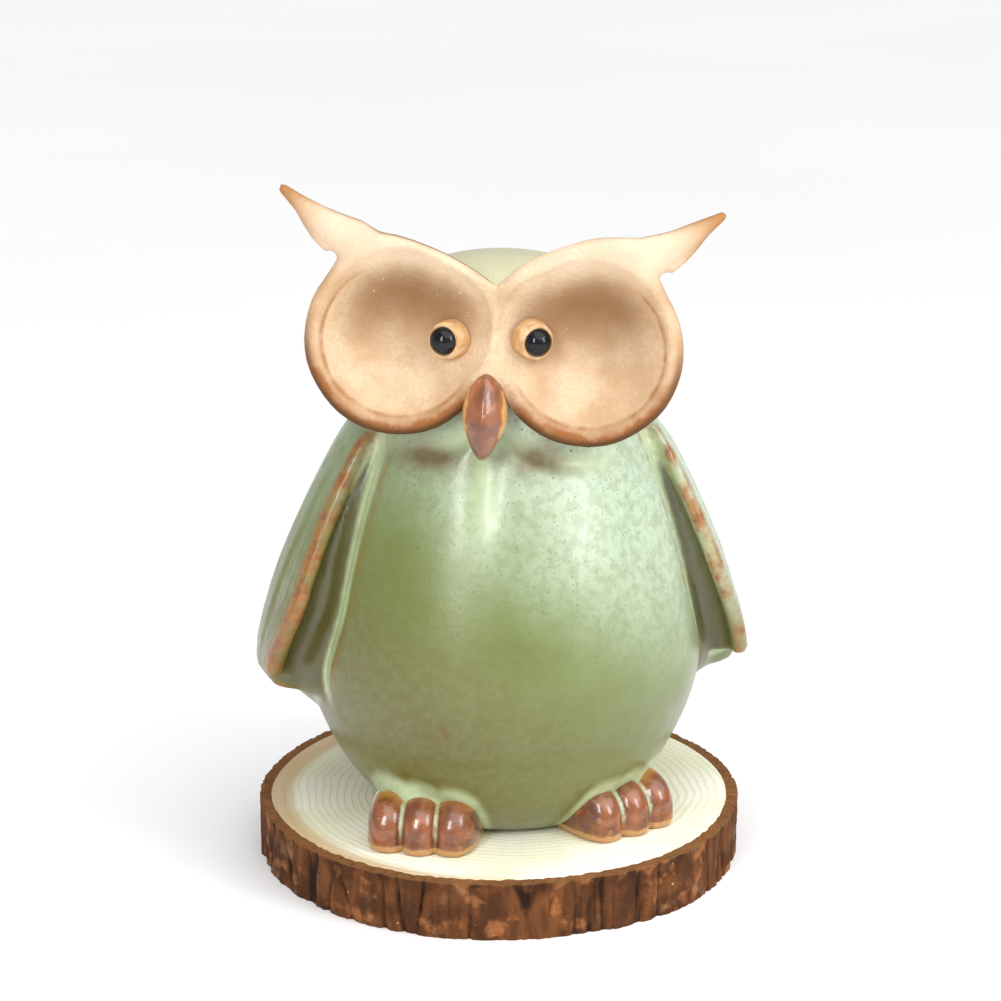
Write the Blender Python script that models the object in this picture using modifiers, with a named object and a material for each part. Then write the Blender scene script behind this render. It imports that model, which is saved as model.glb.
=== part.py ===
"""A glazed stoneware owl standing on a slice of a log.

The owl is built as a potter builds it: a turned, hollow body and a hollow head cap, with
a dished face mask, ear tufts, eye collars, beak, wings and feet made separately and luted
on with a thin line of slip, and two glass beads set in the collars. The slice is a disc of
sapwood inside its own ring of bark. The owl only stands on the slice and lifts straight off.

Frame: metres, +Z up, origin at the centre of the slice's underside, owl facing -Y.
Heights named *_HEIGHT are above the owl's soles unless the name says otherwise.
"""

import math

import bmesh
import bpy
from mathutils import Matrix, Vector

MM = 0.001

# Log slice
SLICE_WIDTH = 120 * MM
SLICE_DEPTH = 123 * MM
SLICE_THICKNESS = 14 * MM
BARK_THICKNESS = 2.9 * MM
BARK_BULGE = 0.8 * MM
WOOD_EDGE_ROUND = 0.6 * MM

# Fits
REST_GAP = 0.3 * MM
SLIP_JOINT = 0.4 * MM
BARK_GAP = 0.3 * MM
BEAD_CLEARANCE = 0.3 * MM

# Where the owl stands on the slice
OWL_FORWARD = 3.5 * MM

# Body: an egg, widest low down, with a flat base and an open neck
BODY_RADIUS = 48.5 * MM
BELLY_HEIGHT = 40.0 * MM
BASE_RADIUS = 25.0 * MM
NECK_HEIGHT = 96.0 * MM
NECK_RADIUS = 33.5 * MM
BELLY_ROUNDNESS = 1.6
SHOULDER_ROUNDNESS = 1.5
CLAY_WALL = 5.0 * MM
VENT_RADIUS = 7.0 * MM

# Head cap
HEAD_RADIUS = 32.5 * MM
HEAD_WIDEST_HEIGHT = 112.0 * MM
HEAD_TOP_HEIGHT = 136.5 * MM
CROWN_FLATNESS = 2.3
HEAD_WALL = 4.0 * MM

# Face: how the mask is turned on the head, and its own sizes
FACE_TURN = math.radians(-14)
FACE_ROLL = math.radians(3)
FACE_TILT_BACK = math.radians(4)
FACE_CENTRE_HEIGHT = 117.8 * MM
FACE_FRONT = 37.5 * MM
DISC_RADIUS = 21.3 * MM
DISC_SPACING = 42.5 * MM
RIM_DEPTH = 7.0 * MM
RIM_ROUND = 2.0 * MM
RIM_WIDTH = 2.8 * MM
BOWL_DEPTH = 8.2 * MM
BOWL_RADIUS = ((DISC_RADIUS - RIM_WIDTH) ** 2 + BOWL_DEPTH**2) / (2 * BOWL_DEPTH)
BOWL_WALL = 4.1 * MM
BOWL_STRETCH = 1.08
BOWL_RISE = 1.4 * MM
BRIDGE_DROP = 9.0 * MM
NOTCH_HEIGHT = 15.6 * MM
BROW_HEIGHT = 26.0 * MM

# Ear tufts
TUFT_ROOT_ANGLE = math.radians(37)
TUFT_SPREAD = 49.6 * MM
TUFT_ROUND = 1.2 * MM
TUFT_RISE = 32.8 * MM
TUFT_SWEEP = 3.0 * MM
TUFT_TIP_SHARE = 0.35

# Eyes
EYE_ACROSS = {-1: 9.7 * MM, 1: 8.3 * MM}
EYE_LEVEL = {-1: 0.3 * MM, 1: 1.6 * MM}
BEAD_RADIUS = 3.0 * MM
COLLAR_WALL = 1.1 * MM
COLLAR_STAND = 3.4 * MM

# Beak
BEAK_LENGTH = 19.9 * MM
BEAK_ASIDE = -0.9 * MM
BEAK_WIDTH = 10.4 * MM
BEAK_DEPTH = 11.0 * MM
BEAK_TOP_DROP = 5.6 * MM

# Wings
WING_TOP_HEIGHT = 96.0 * MM
WING_CORNER_HEIGHT = 32.0 * MM
WING_HEM_HEIGHT = 8.0 * MM
WING_FLARE = 12.2 * MM
WING_TOP_STAND = 2.0 * MM
WING_TUCK = 6.0 * MM
CLOAK_RADIUS = 51.0 * MM
WING_THICKNESS = 4.5 * MM

# Feet
FOOT_SPACING = 45.0 * MM
FOOT_FORWARD = 24.5 * MM
FOOT_SPLAY = math.radians(23)
STANCE_TURN = math.radians(3)
STANCE_ASIDE = -2.0 * MM
TOE_WIDTH = 9.9 * MM
TOE_LENGTH = 26.0 * MM
TOE_HEIGHT = 12.6 * MM
TOE_COUNT = 3

TURN_STEPS = 36
EPSILON = 1e-5


# ---------------------------------------------------------------- scene helpers


def clear_scene():
    """Removes the startup objects, and makes one collection for parts and one for cutters."""
    for obj in list(bpy.data.objects):
        bpy.data.objects.remove(obj)
    made = []
    for name in ("owl_figurine", "cutters"):
        collection = bpy.data.collections.new(name)
        bpy.context.scene.collection.children.link(collection)
        made.append(collection)
    return made


PARTS, CUTTERS = clear_scene()


def clay(name, colour, roughness, metallic=0.0):
    """A plain Principled BSDF material."""
    material = bpy.data.materials.new(name)
    material.use_nodes = True
    shader = material.node_tree.nodes["Principled BSDF"]
    shader.inputs["Base Color"].default_value = (*colour, 1)
    shader.inputs["Roughness"].default_value = roughness
    shader.inputs["Metallic"].default_value = metallic
    return material


GREEN_GLAZE = clay("green_glaze", (0.36, 0.42, 0.19), 0.25)
BROWN_GLAZE = clay("brown_glaze", (0.25, 0.09, 0.035), 0.2)
BUFF_CLAY = clay("buff_clay", (0.56, 0.39, 0.24), 0.7)
BLACK_GLASS = clay("black_glass", (0.004, 0.004, 0.005), 0.05)
SAPWOOD = clay("sapwood", (0.78, 0.72, 0.48), 0.6)
BARK = clay("bark", (0.16, 0.07, 0.03), 0.85)


def place(obj, collection, parent=None, material=None):
    """Puts an object in its collection, under its parent, with its material."""
    collection.objects.link(obj)
    obj.parent = parent
    if material:
        obj.data.materials.append(material)
    if collection is CUTTERS:
        obj.hide_render = True
        obj.display_type = "WIRE"
    return obj


def mesh_object(name, bm, collection, parent=None, material=None):
    """A new object from a bmesh, with its faces turned outwards."""
    bmesh.ops.recalc_face_normals(bm, faces=bm.faces)
    mesh = bpy.data.meshes.new(name)
    bm.to_mesh(mesh)
    bm.free()
    return place(bpy.data.objects.new(name, mesh), collection, parent, material)


def shade(obj, angle=40):
    """Smooth faces, with edges sharper than the angle kept sharp."""
    obj.data.shade_smooth()
    obj.data.set_sharp_from_angle(angle=math.radians(angle))


def solid_mesh(obj):
    """The object's evaluated shape as a mesh of its own, with loose caps welded on."""
    bpy.context.view_layer.update()
    graph = bpy.context.evaluated_depsgraph_get()
    mesh = bpy.data.meshes.new_from_object(obj.evaluated_get(graph))
    bm = bmesh.new()
    bm.from_mesh(mesh)
    bmesh.ops.remove_doubles(bm, verts=bm.verts, dist=EPSILON)
    bmesh.ops.recalc_face_normals(bm, faces=bm.faces)
    bm.to_mesh(mesh)
    bm.free()
    return mesh


def combine(obj, other, operation):
    """Adds a Boolean to the object. The exact solver is Blender's default."""
    modifier = obj.modifiers.new(f"{operation.lower()} {other.name}", "BOOLEAN")
    modifier.operation = operation
    modifier.object = other


def baked(obj):
    """Replaces the object's mesh with its evaluated one, so that it can be cut again."""
    mesh = solid_mesh(obj)
    obj.modifiers.clear()
    obj.data = mesh
    return obj


def frame_empty(name, location, parent=None, rotation=None):
    """An empty that carries the pieces of one group."""
    empty = bpy.data.objects.new(name, None)
    PARTS.objects.link(empty)
    empty.parent = parent
    turn = rotation.to_4x4() if rotation else Matrix.Identity(4)
    empty.matrix_local = Matrix.Translation(location) @ turn
    bpy.context.view_layer.update()
    return empty


def turned(name, profile, closed, collection, parent=None, material=None):
    """A shape turned about Z from (radius, height) points that run down its outer side."""
    bm = bmesh.new()
    verts = [bm.verts.new((radius, 0, height)) for radius, height in profile]
    for first, second in zip(verts, verts[1:]):
        bm.edges.new((first, second))
    if closed:
        bm.edges.new((verts[-1], verts[0]))
    mesh = bpy.data.meshes.new(name)
    bm.to_mesh(mesh)
    bm.free()
    obj = place(bpy.data.objects.new(name, mesh), collection, parent, material)
    screw = obj.modifiers.new("turn", "SCREW")
    screw.steps = TURN_STEPS
    screw.render_steps = TURN_STEPS
    screw.use_merge_vertices = True
    screw.merge_threshold = EPSILON
    return baked(obj)


def ball(name, radii, centre, collection, parent=None, material=None, segments=24):
    """An ellipsoid with its poles on Y, the way the face's bowls and toes look out."""
    bm = bmesh.new()
    bmesh.ops.create_uvsphere(bm, u_segments=segments, v_segments=segments // 2, radius=1)
    stand = Matrix.Rotation(math.radians(90), 4, "X")
    bmesh.ops.transform(bm, matrix=stand, verts=bm.verts)
    bmesh.ops.scale(bm, vec=Vector(radii), verts=bm.verts)
    bmesh.ops.translate(bm, vec=Vector(centre), verts=bm.verts)
    return mesh_object(name, bm, collection, parent, material)


def block(name, size, centre, parent=None):
    """A cutter box."""
    bm = bmesh.new()
    bmesh.ops.create_cube(bm, size=1)
    bmesh.ops.scale(bm, vec=Vector(size), verts=bm.verts)
    bmesh.ops.translate(bm, vec=Vector(centre), verts=bm.verts)
    return mesh_object(name, bm, CUTTERS, parent)


def plate(name, outline, front, depth, edge_round, collection, parent, material, grow=0):
    """A slab standing in the XZ plane behind y = -front, with its edges rounded over."""
    curve = bpy.data.curves.new(name, "CURVE")
    curve.dimensions = "2D"
    curve.fill_mode = "BOTH"
    curve.extrude = depth / 2 - edge_round
    curve.bevel_depth = edge_round
    curve.bevel_resolution = 1
    curve.offset = grow - edge_round
    spline = curve.splines.new("POLY")
    spline.points.add(len(outline) - 1)
    for point, (across, up) in zip(spline.points, outline):
        point.co = (across, up, 0, 1)
    spline.use_cyclic_u = True
    drawn = place(bpy.data.objects.new(name + "_outline", curve), CUTTERS)
    mesh = solid_mesh(drawn)
    bpy.data.objects.remove(drawn)
    stand = Matrix.Rotation(math.radians(90), 4, "X")
    mesh.transform(Matrix.Translation((0, -front + depth / 2, 0)) @ stand)
    return place(bpy.data.objects.new(name, mesh), collection, parent, material)


def spread(start, end, count):
    """Evenly spaced numbers, both ends included."""
    return [start + (end - start) * step / (count - 1) for step in range(count)]


def smooth(share):
    """An S-curve from 0 to 1."""
    share = min(1, max(0, share))
    return share * share * (3 - 2 * share)


# ---------------------------------------------------------------- log slice


def make_slice():
    """The sapwood disc, and the ring of bark round it."""
    wood_radius = SLICE_WIDTH / 2 - BARK_THICKNESS - BARK_GAP
    bm = bmesh.new()
    bmesh.ops.create_cone(
        bm,
        cap_ends=True,
        segments=TURN_STEPS,
        radius1=wood_radius,
        radius2=wood_radius,
        depth=SLICE_THICKNESS,
    )
    bmesh.ops.translate(bm, vec=(0, 0, SLICE_THICKNESS / 2), verts=bm.verts)
    disc = mesh_object("wood_disc", bm, PARTS, material=SAPWOOD)
    edge = disc.modifiers.new("softened edge", "BEVEL")
    edge.width = WOOD_EDGE_ROUND
    edge.segments = 1
    edge.limit_method = "ANGLE"
    edge.angle_limit = math.radians(60)

    inner = SLICE_WIDTH / 2 - BARK_THICKNESS
    flat = SLICE_WIDTH / 2 - BARK_BULGE
    outer_side = [
        (flat + BARK_BULGE * math.sin(math.pi * share), SLICE_THICKNESS * (1 - share))
        for share in spread(0, 1, 5)
    ]
    profile = outer_side + [(inner, 0), (inner, SLICE_THICKNESS)]
    ring = turned("bark_ring", profile, True, PARTS, material=BARK)
    for piece in (disc, ring):
        piece.data.transform(Matrix.Diagonal((1, SLICE_DEPTH / SLICE_WIDTH, 1, 1)))
        shade(piece)


# ---------------------------------------------------------------- body and head


def body_radius(height):
    """The body's outer radius at a height above the soles."""
    if height < BELLY_HEIGHT:
        down = (BELLY_HEIGHT - height) / BELLY_HEIGHT
        out = (1 - down**BELLY_ROUNDNESS) ** (1 / BELLY_ROUNDNESS)
        return BASE_RADIUS + (BODY_RADIUS - BASE_RADIUS) * out
    up = (height - BELLY_HEIGHT) / (NECK_HEIGHT - BELLY_HEIGHT)
    return BODY_RADIUS - (BODY_RADIUS - NECK_RADIUS) * up**SHOULDER_ROUNDNESS


def body_heights(bottom, count):
    """Heights from the neck down to the bottom, closer together where the base turns in."""
    return [
        bottom + (NECK_HEIGHT - bottom) * (1 - share) ** 1.5 for share in spread(0, 1, count)
    ]


def make_core(owl):
    """The cutter that fits the other pieces to the body and head, a slip joint away."""
    crown = [(0, HEAD_TOP_HEIGHT + SLIP_JOINT)]
    head = [(head_radius(height) + SLIP_JOINT, height) for height in head_heights()[1:-1]]
    body = [(body_radius(height) + SLIP_JOINT, height) for height in body_heights(0, 15)]
    floor = [(BASE_RADIUS, -SLICE_THICKNESS), (0, -SLICE_THICKNESS)]
    return turned("clay_core", crown + head + body + floor, False, CUTTERS, owl)


def make_body(owl):
    """The hollow egg: open at the neck, with a vent through its base for the kiln."""
    outer = [(body_radius(height), height) for height in body_heights(0, 15)]
    floor = [(VENT_RADIUS, 0), (VENT_RADIUS, CLAY_WALL)]
    inner = [
        (body_radius(height) - CLAY_WALL, height) for height in body_heights(CLAY_WALL, 10)
    ]
    profile = outer + floor + inner[::-1]
    shade(turned("body_shell", profile, True, PARTS, owl, GREEN_GLAZE))


def head_radius(height):
    """The head cap's outer radius: a straight neck, then a flattened dome."""
    if height < HEAD_WIDEST_HEIGHT:
        share = (height - NECK_HEIGHT) / (HEAD_WIDEST_HEIGHT - NECK_HEIGHT)
        return NECK_RADIUS + (HEAD_RADIUS - NECK_RADIUS) * smooth(share)
    up = (height - HEAD_WIDEST_HEIGHT) / (HEAD_TOP_HEIGHT - HEAD_WIDEST_HEIGHT)
    return HEAD_RADIUS * max(0, 1 - up**CROWN_FLATNESS) ** (1 / CROWN_FLATNESS)


def head_heights():
    """Heights from the crown down to the neck, closer together near the crown."""
    bottom = NECK_HEIGHT + REST_GAP
    rise = HEAD_TOP_HEIGHT - bottom
    return [bottom + rise * math.sin(math.pi / 2 * share) for share in spread(1, 0, 9)]


def make_head(owl):
    """The hollow cap that closes the neck."""
    bottom = NECK_HEIGHT + REST_GAP
    rise = HEAD_TOP_HEIGHT - bottom
    outer = [(head_radius(height), height) for height in head_heights()]
    outer[0] = (0, HEAD_TOP_HEIGHT)
    inside = 1 - HEAD_WALL / HEAD_RADIUS
    under = 1 - HEAD_WALL / rise
    inner = [(radius * inside, bottom + (height - bottom) * under) for radius, height in outer]
    profile = outer + inner[::-1]
    shade(turned("head_cap", profile, False, PARTS, owl, GREEN_GLAZE))


# ---------------------------------------------------------------- face


def face_rotation():
    """The mask looks a little aside, leans to one side and tips back."""
    turn = Matrix.Rotation(FACE_TURN, 3, "Z")
    tip = Matrix.Rotation(-FACE_TILT_BACK, 3, "X")
    roll = Matrix.Rotation(FACE_ROLL, 3, "Y")
    return turn @ tip @ roll


def arc(centre, radius, start, end, count):
    """Points (across, up) on an arc. Angles are from the +X side, in degrees."""
    return [
        (
            centre[0] + radius * math.cos(math.radians(angle)),
            centre[1] + radius * math.sin(math.radians(angle)),
        )
        for angle in spread(start, end, count)
    ]


def brow_height(across):
    """The brow's top line: up from the notch between the eyes, then nearly level."""
    return NOTCH_HEIGHT + (BROW_HEIGHT - NOTCH_HEIGHT) * math.sin(
        math.pi / 2 * min(1, across / (DISC_SPACING / 2 + TUFT_SWEEP * 2))
    )


def tuft_root():
    """The seam's lower end on the disc's edge, and its upper end on the brow."""
    half = DISC_SPACING / 2
    low = (
        half + DISC_RADIUS * math.cos(TUFT_ROOT_ANGLE),
        DISC_RADIUS * math.sin(TUFT_ROOT_ANGLE),
    )
    high = (half + DISC_RADIUS * 0.45, brow_height(half + DISC_RADIUS * 0.45))
    return low, high


def mask_outline():
    """Two round discs side by side under a brow with a notch in its middle."""
    half = DISC_SPACING / 2
    low, high = tuft_root()
    bridge_angle = 180 + math.degrees(math.asin(BRIDGE_DROP / DISC_RADIUS))
    disc_side = arc(
        (half, 0), DISC_RADIUS, bridge_angle, 360 + math.degrees(TUFT_ROOT_ANGLE), 26
    )
    brow = [(across, brow_height(across)) for across in spread(high[0], 0, 9)]
    right = disc_side + brow
    left = [(-across, up) for across, up in reversed(right[:-1])]
    return right + left


def bowl_centre(side):
    """The middle of the ball that shapes one disc's hollow, in the mask's own frame."""
    return Vector((side * DISC_SPACING / 2, -FACE_FRONT - BOWL_RADIUS + BOWL_DEPTH, BOWL_RISE))


def bowl_cutter(side, radius, stretch, face):
    """A ball whose front cap is the hollow of one disc, or whose skin is the dish's back."""
    radii = (radius, radius, radius * stretch)
    return ball(f"bowl_{side}", radii, bowl_centre(side), CUTTERS, face, segments=40)


def make_mask(face, core):
    """The dished mask: a slab, thickened behind each bowl, hollowed, and fitted to the head."""
    mask = plate(
        "face_mask", mask_outline(), FACE_FRONT, RIM_DEPTH, RIM_ROUND, PARTS, face, BUFF_CLAY
    )
    reach = 2 * (DISC_SPACING + DISC_RADIUS)
    for side in (-1, 1):
        dish = bowl_cutter(side, BOWL_RADIUS + BOWL_WALL, 1, face)
        behind = block(
            f"behind_rim_{side}",
            (reach, reach, reach),
            (0, -FACE_FRONT + RIM_DEPTH / 2 + reach / 2, 0),
            face,
        )
        combine(dish, behind, "INTERSECT")
        combine(mask, baked(dish), "UNION")
    for side in (-1, 1):
        combine(mask, bowl_cutter(side, BOWL_RADIUS, BOWL_STRETCH, face), "DIFFERENCE")
    combine(mask, core, "DIFFERENCE")
    baked(mask)
    shade(mask)


def tuft_outline():
    """A horn that sweeps out and up from the brow, drawn on the +X side."""
    low, high = tuft_root()
    tip = Vector((TUFT_SPREAD, TUFT_RISE))
    root_top, root_low = Vector(high), Vector(low)
    top_pull = Vector((root_top.x + 9 * MM, root_top.y + 1.7 * MM))
    low_pull = Vector((tip.x + 0.5 * MM, tip.y - 8 * MM))
    rows = []
    for share in spread(0, 1, 8):
        first = root_top.lerp(top_pull, share)
        second = top_pull.lerp(tip, share)
        rows.append(first.lerp(second, share))
    under = []
    for share in spread(0, 1, 8)[1:]:
        first = tip.lerp(low_pull, share)
        second = low_pull.lerp(root_low, share)
        under.append(first.lerp(second, share))
    seam = Vector((SLIP_JOINT, 0))
    return [tuple(point + seam) for point in rows + under]


def make_tuft(face, side):
    """An ear tuft, thinner towards its tip, luted to the mask's upper corner."""
    name = "ear_tuft_left" if side > 0 else "ear_tuft_right"
    tuft = plate(name, tuft_outline(), FACE_FRONT, RIM_DEPTH, TUFT_ROUND, PARTS, face, BUFF_CLAY)
    root = tuft_root()[1][0]
    middle = -FACE_FRONT + RIM_DEPTH / 2
    for vertex in tuft.data.vertices:
        out = smooth((vertex.co.x - root) / (TUFT_SPREAD - root))
        thin = 1 - (1 - TUFT_TIP_SHARE) * out
        vertex.co.y = middle + (vertex.co.y - middle) * thin + TUFT_SWEEP * out
        vertex.co.x *= side
    if side < 0:
        tuft.data.flip_normals()
    shade(tuft)


def eye_frame(face, side):
    """An empty on the bowl's surface, its Z along the collar, square to the clay."""
    across = side * (EYE_ACROSS[side] - DISC_SPACING / 2)
    up = EYE_LEVEL[side] - BOWL_RISE
    deep = math.sqrt(BOWL_RADIUS**2 - across**2 - (up / BOWL_STRETCH) ** 2)
    outward = -Vector((across, deep, up / BOWL_STRETCH**2))
    turn = Vector((0, 0, 1)).rotation_difference(outward).to_matrix()
    return frame_empty(f"eye_{side}", bowl_centre(side) + Vector((across, deep, up)), face, turn)


def make_eye(face, side):
    """A clay collar on the bowl's slope, with a glass bead in its socket."""
    word = "left" if side > 0 else "right"
    eye = eye_frame(face, side)
    socket = BEAD_RADIUS + BEAD_CLEARANCE
    outside = socket + COLLAR_WALL
    lip = COLLAR_WALL / 2
    foot = 2 * COLLAR_WALL
    top = [
        (socket + lip + lip * math.cos(angle), COLLAR_STAND - lip + lip * math.sin(angle))
        for angle in spread(math.pi, 0, 5)
    ]
    profile = top + [(outside + lip, 0), (outside + lip, -foot), (socket, -foot)]
    collar = turned(f"eye_collar_{word}", profile, True, PARTS, eye, BUFF_CLAY)
    hollow = bowl_cutter(side, BOWL_RADIUS - SLIP_JOINT, BOWL_STRETCH, face)
    combine(collar, hollow, "INTERSECT")
    baked(collar)
    shade(collar)
    bead = ball(
        f"eye_bead_{word}",
        (BEAD_RADIUS,) * 3,
        (0, 0, BEAD_RADIUS + BEAD_CLEARANCE),
        PARTS,
        eye,
        BLACK_GLASS,
        segments=16,
    )
    shade(bead)


def make_beak(face, core):
    """A hooked almond over the lower cusp of the discs, down to the chest."""
    half = BEAK_LENGTH / 2
    middle = -(BEAK_TOP_DROP + half)
    beak = ball(
        "beak",
        (BEAK_WIDTH / 2, BEAK_DEPTH / 2, half),
        (0, -FACE_FRONT, middle),
        PARTS,
        face,
        BROWN_GLAZE,
        segments=24,
    )
    for vertex in beak.data.vertices:
        along = (vertex.co.z - middle) / half
        pinch = 1 - 0.35 * along * along
        vertex.co.x = BEAK_ASIDE + vertex.co.x * pinch
        vertex.co.y += 0.12 * BEAK_DEPTH * along
    slab = plate(
        "beak_seat",
        mask_outline(),
        FACE_FRONT + SLIP_JOINT,
        RIM_DEPTH * 3,
        RIM_ROUND,
        CUTTERS,
        face,
        None,
        grow=SLIP_JOINT,
    )
    combine(beak, slab, "DIFFERENCE")
    combine(beak, core, "DIFFERENCE")
    baked(beak)
    shade(beak)


# ---------------------------------------------------------------- wings and feet


def hem_height(angle):
    """The wing's lower edge: high at the front corner, lowest behind the side."""
    drop = WING_CORNER_HEIGHT - WING_HEM_HEIGHT
    return WING_CORNER_HEIGHT - drop * smooth((angle - 3) / 26)


def wing_stand(height, angle):
    """How far the wing's outer face stands off the body.

    It flares out towards its front corner. Behind that, its lower part hangs straight down.
    """
    down = (WING_TOP_HEIGHT - height) / (WING_TOP_HEIGHT - WING_CORNER_HEIGHT)
    front = 1 - 0.75 * smooth((angle - 3) / 42)
    flare = WING_TOP_STAND + (WING_FLARE - WING_TOP_STAND) * min(1, down) ** 0.65
    tuck = smooth((height - WING_CORNER_HEIGHT) / WING_TUCK + 1)
    below = body_radius(min(height, BELLY_HEIGHT))
    hang = (CLOAK_RADIUS - below) * smooth((angle - 6) / 14)
    return max(flare * front * tuck, hang)


def wing_section(share_down):
    """One level of the wing as (angle, outward offset) pairs, out round the front edge."""
    front = -12 + 7 * share_down
    root = -27 + 10 * share_down
    outer = [(angle, 1.0) for angle in spread(68, front + 4, 9)]
    edge = [(front, 0.72)]
    inner = [(front - 1.5, 0.3), (root + 3, 0.0), (root, -0.35)]
    back = [(20, -0.5), (50, -0.5), (72, -0.35)]
    return outer + edge + inner + back


def make_wing(owl, core, side):
    """A wing that wraps the side and stands off the body along its front edge."""
    name = "wing_left" if side > 0 else "wing_right"
    levels = spread(0, 1, 12)
    bm = bmesh.new()
    rings = []
    for level in levels:
        ring = []
        for angle, out in wing_section(level):
            hem = hem_height(angle)
            height = WING_TOP_HEIGHT - (WING_TOP_HEIGHT - hem) * level
            stand = wing_stand(height, angle)
            radius = body_radius(max(height, 0)) + (
                stand * out if out > 0 else WING_THICKNESS * out
            )
            turn = math.radians(angle)
            ring.append(
                bm.verts.new((side * radius * math.cos(turn), radius * math.sin(turn), height))
            )
        rings.append(ring)
    for upper, lower in zip(rings, rings[1:]):
        for index in range(len(upper)):
            after = (index + 1) % len(upper)
            bm.faces.new((upper[index], upper[after], lower[after], lower[index]))
    bm.faces.new(rings[0])
    bm.faces.new(rings[-1])
    wing = mesh_object(name, bm, PARTS, owl, GREEN_GLAZE)
    edge = wing.modifiers.new("rounded edges", "BEVEL")
    edge.width = WING_THICKNESS / 5
    edge.segments = 2
    edge.limit_method = "ANGLE"
    edge.angle_limit = math.radians(50)
    combine(wing, core, "DIFFERENCE")
    baked(wing)
    shade(wing)


def make_foot(owl, core, side):
    """Three toes side by side on a flat sole, fitted under the body's front."""
    name = "foot_left" if side > 0 else "foot_right"
    stance = Matrix.Rotation(STANCE_TURN, 3, "Z")
    place_here = frame_empty(
        name + "_frame",
        stance @ Vector((side * FOOT_SPACING / 2 + STANCE_ASIDE, -FOOT_FORWARD, 0)),
        owl,
        stance @ Matrix.Rotation(side * FOOT_SPLAY, 3, "Z"),
    )
    toes = []
    for index in range(TOE_COUNT):
        offset = (index - (TOE_COUNT - 1) / 2) * TOE_WIDTH * 0.82
        middle = 1 - abs(index - (TOE_COUNT - 1) / 2) * 0.12
        toe = ball(
            name if not toes else f"{name}_toe_{index}",
            (TOE_WIDTH / 2 * 1.05, TOE_LENGTH / 2 * middle, TOE_HEIGHT * 0.8),
            (offset, 0, TOE_HEIGHT * 0.2),
            CUTTERS if toes else PARTS,
            place_here,
            BROWN_GLAZE,
            segments=20,
        )
        toes.append(toe)
    foot = toes[0]
    for toe in toes[1:]:
        combine(foot, toe, "UNION")
    size = 3 * TOE_LENGTH
    ground = block(name + "_ground", (size, size, size), (0, 0, -size / 2), place_here)
    combine(foot, ground, "DIFFERENCE")
    combine(foot, core, "DIFFERENCE")
    baked(foot)
    shade(foot)


def make_owl():
    """Every clay piece, carried by one empty on the slice's top."""
    owl = frame_empty("owl", Vector((0, -OWL_FORWARD, SLICE_THICKNESS + REST_GAP)))
    core = make_core(owl)
    make_body(owl)
    make_head(owl)
    face = frame_empty("face", Vector((0, 0, FACE_CENTRE_HEIGHT)), owl, face_rotation())
    make_mask(face, core)
    make_beak(face, core)
    for side in (-1, 1):
        make_tuft(face, side)
        make_eye(face, side)
        make_wing(owl, core, side)
        make_foot(owl, core, side)


make_slice()
make_owl()
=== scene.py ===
# %% [markdown]
# # A glazed stoneware owl on a slice of a log
#
# The owl is hand-built pottery: a hollow egg of a body, a face pressed into two dishes, and wings,
# feet and a beak luted on with slip. Green glaze runs over the body, the face is left bare, and
# black beads are set in small clay collars. It stands on a slice of a log with its bark on.
#
# The engineering model is loaded first. It fixes where every piece is, so every place below is
# worked out from its boxes. The looks are then built round it, one piece to a cell.

# %% Load the frame
import math

import bpy
import numpy as np
from mathutils import Matrix, Vector, noise


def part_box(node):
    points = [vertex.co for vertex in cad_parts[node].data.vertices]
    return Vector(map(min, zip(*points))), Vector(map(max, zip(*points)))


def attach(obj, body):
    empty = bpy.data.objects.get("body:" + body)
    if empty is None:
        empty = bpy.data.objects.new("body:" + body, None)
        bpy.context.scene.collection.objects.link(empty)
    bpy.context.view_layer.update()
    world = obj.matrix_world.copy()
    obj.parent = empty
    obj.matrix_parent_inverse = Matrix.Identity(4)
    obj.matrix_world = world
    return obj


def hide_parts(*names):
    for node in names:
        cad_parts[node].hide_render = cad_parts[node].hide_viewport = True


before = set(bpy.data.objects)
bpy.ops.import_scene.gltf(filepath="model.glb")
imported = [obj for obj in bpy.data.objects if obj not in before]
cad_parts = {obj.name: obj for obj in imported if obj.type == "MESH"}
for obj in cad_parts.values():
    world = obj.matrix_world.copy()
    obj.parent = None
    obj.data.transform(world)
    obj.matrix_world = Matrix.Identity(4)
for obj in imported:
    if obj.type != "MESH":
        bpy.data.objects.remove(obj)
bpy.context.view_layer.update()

# %% [markdown]
# ## Measures
#
# Everything is in metres, with +Z up. The owl's soles, the axis of its body and the top of the
# slice come from the frame. The face is turned a little to the owl's right, leans to one side and
# tips back, so it gets a frame of its own: x across it, y into the head and z up it.

# %% Places taken from the frame
MM = 0.001

bark_low, bark_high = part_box("bark_ring")
body_low, body_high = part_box("body_shell")
head_low, head_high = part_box("head_cap")

slice_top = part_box("wood_disc")[1].z
sole = body_low.z
owl_axis = (body_low + body_high) / 2
owl_axis.z = sole
belly_radius = (body_high.x - body_low.x) / 2
neck_radius = (head_high.x - head_low.x) / 2

FACE_TURN = math.radians(-14)
FACE_TILT_BACK = math.radians(4)
FACE_ROLL = math.radians(3)
FACE_HEIGHT = 117.8 * MM
FACE_FRONT = 37.5 * MM
DISC_SPACING = 42.5 * MM
DISC_RADIUS = 21.3 * MM

face_frame = (
    Matrix.Translation(owl_axis + Vector((0, 0, FACE_HEIGHT)))
    @ Matrix.Rotation(FACE_TURN, 4, "Z")
    @ Matrix.Rotation(-FACE_TILT_BACK, 4, "X")
    @ Matrix.Rotation(FACE_ROLL, 4, "Y")
)
print(f"soles at {sole / MM:.1f} mm, belly radius {belly_radius / MM:.1f} mm")

# %% [markdown]
# ## Small tools
#
# Most of these steps come up again and again: pick one object, apply its modifiers, read its
# points as an array. Clay is joined the way a potter does it: lumps are pressed together, which
# is a voxel remesh, and the joins are wiped with a wet sponge, which is a Smooth modifier.

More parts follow.
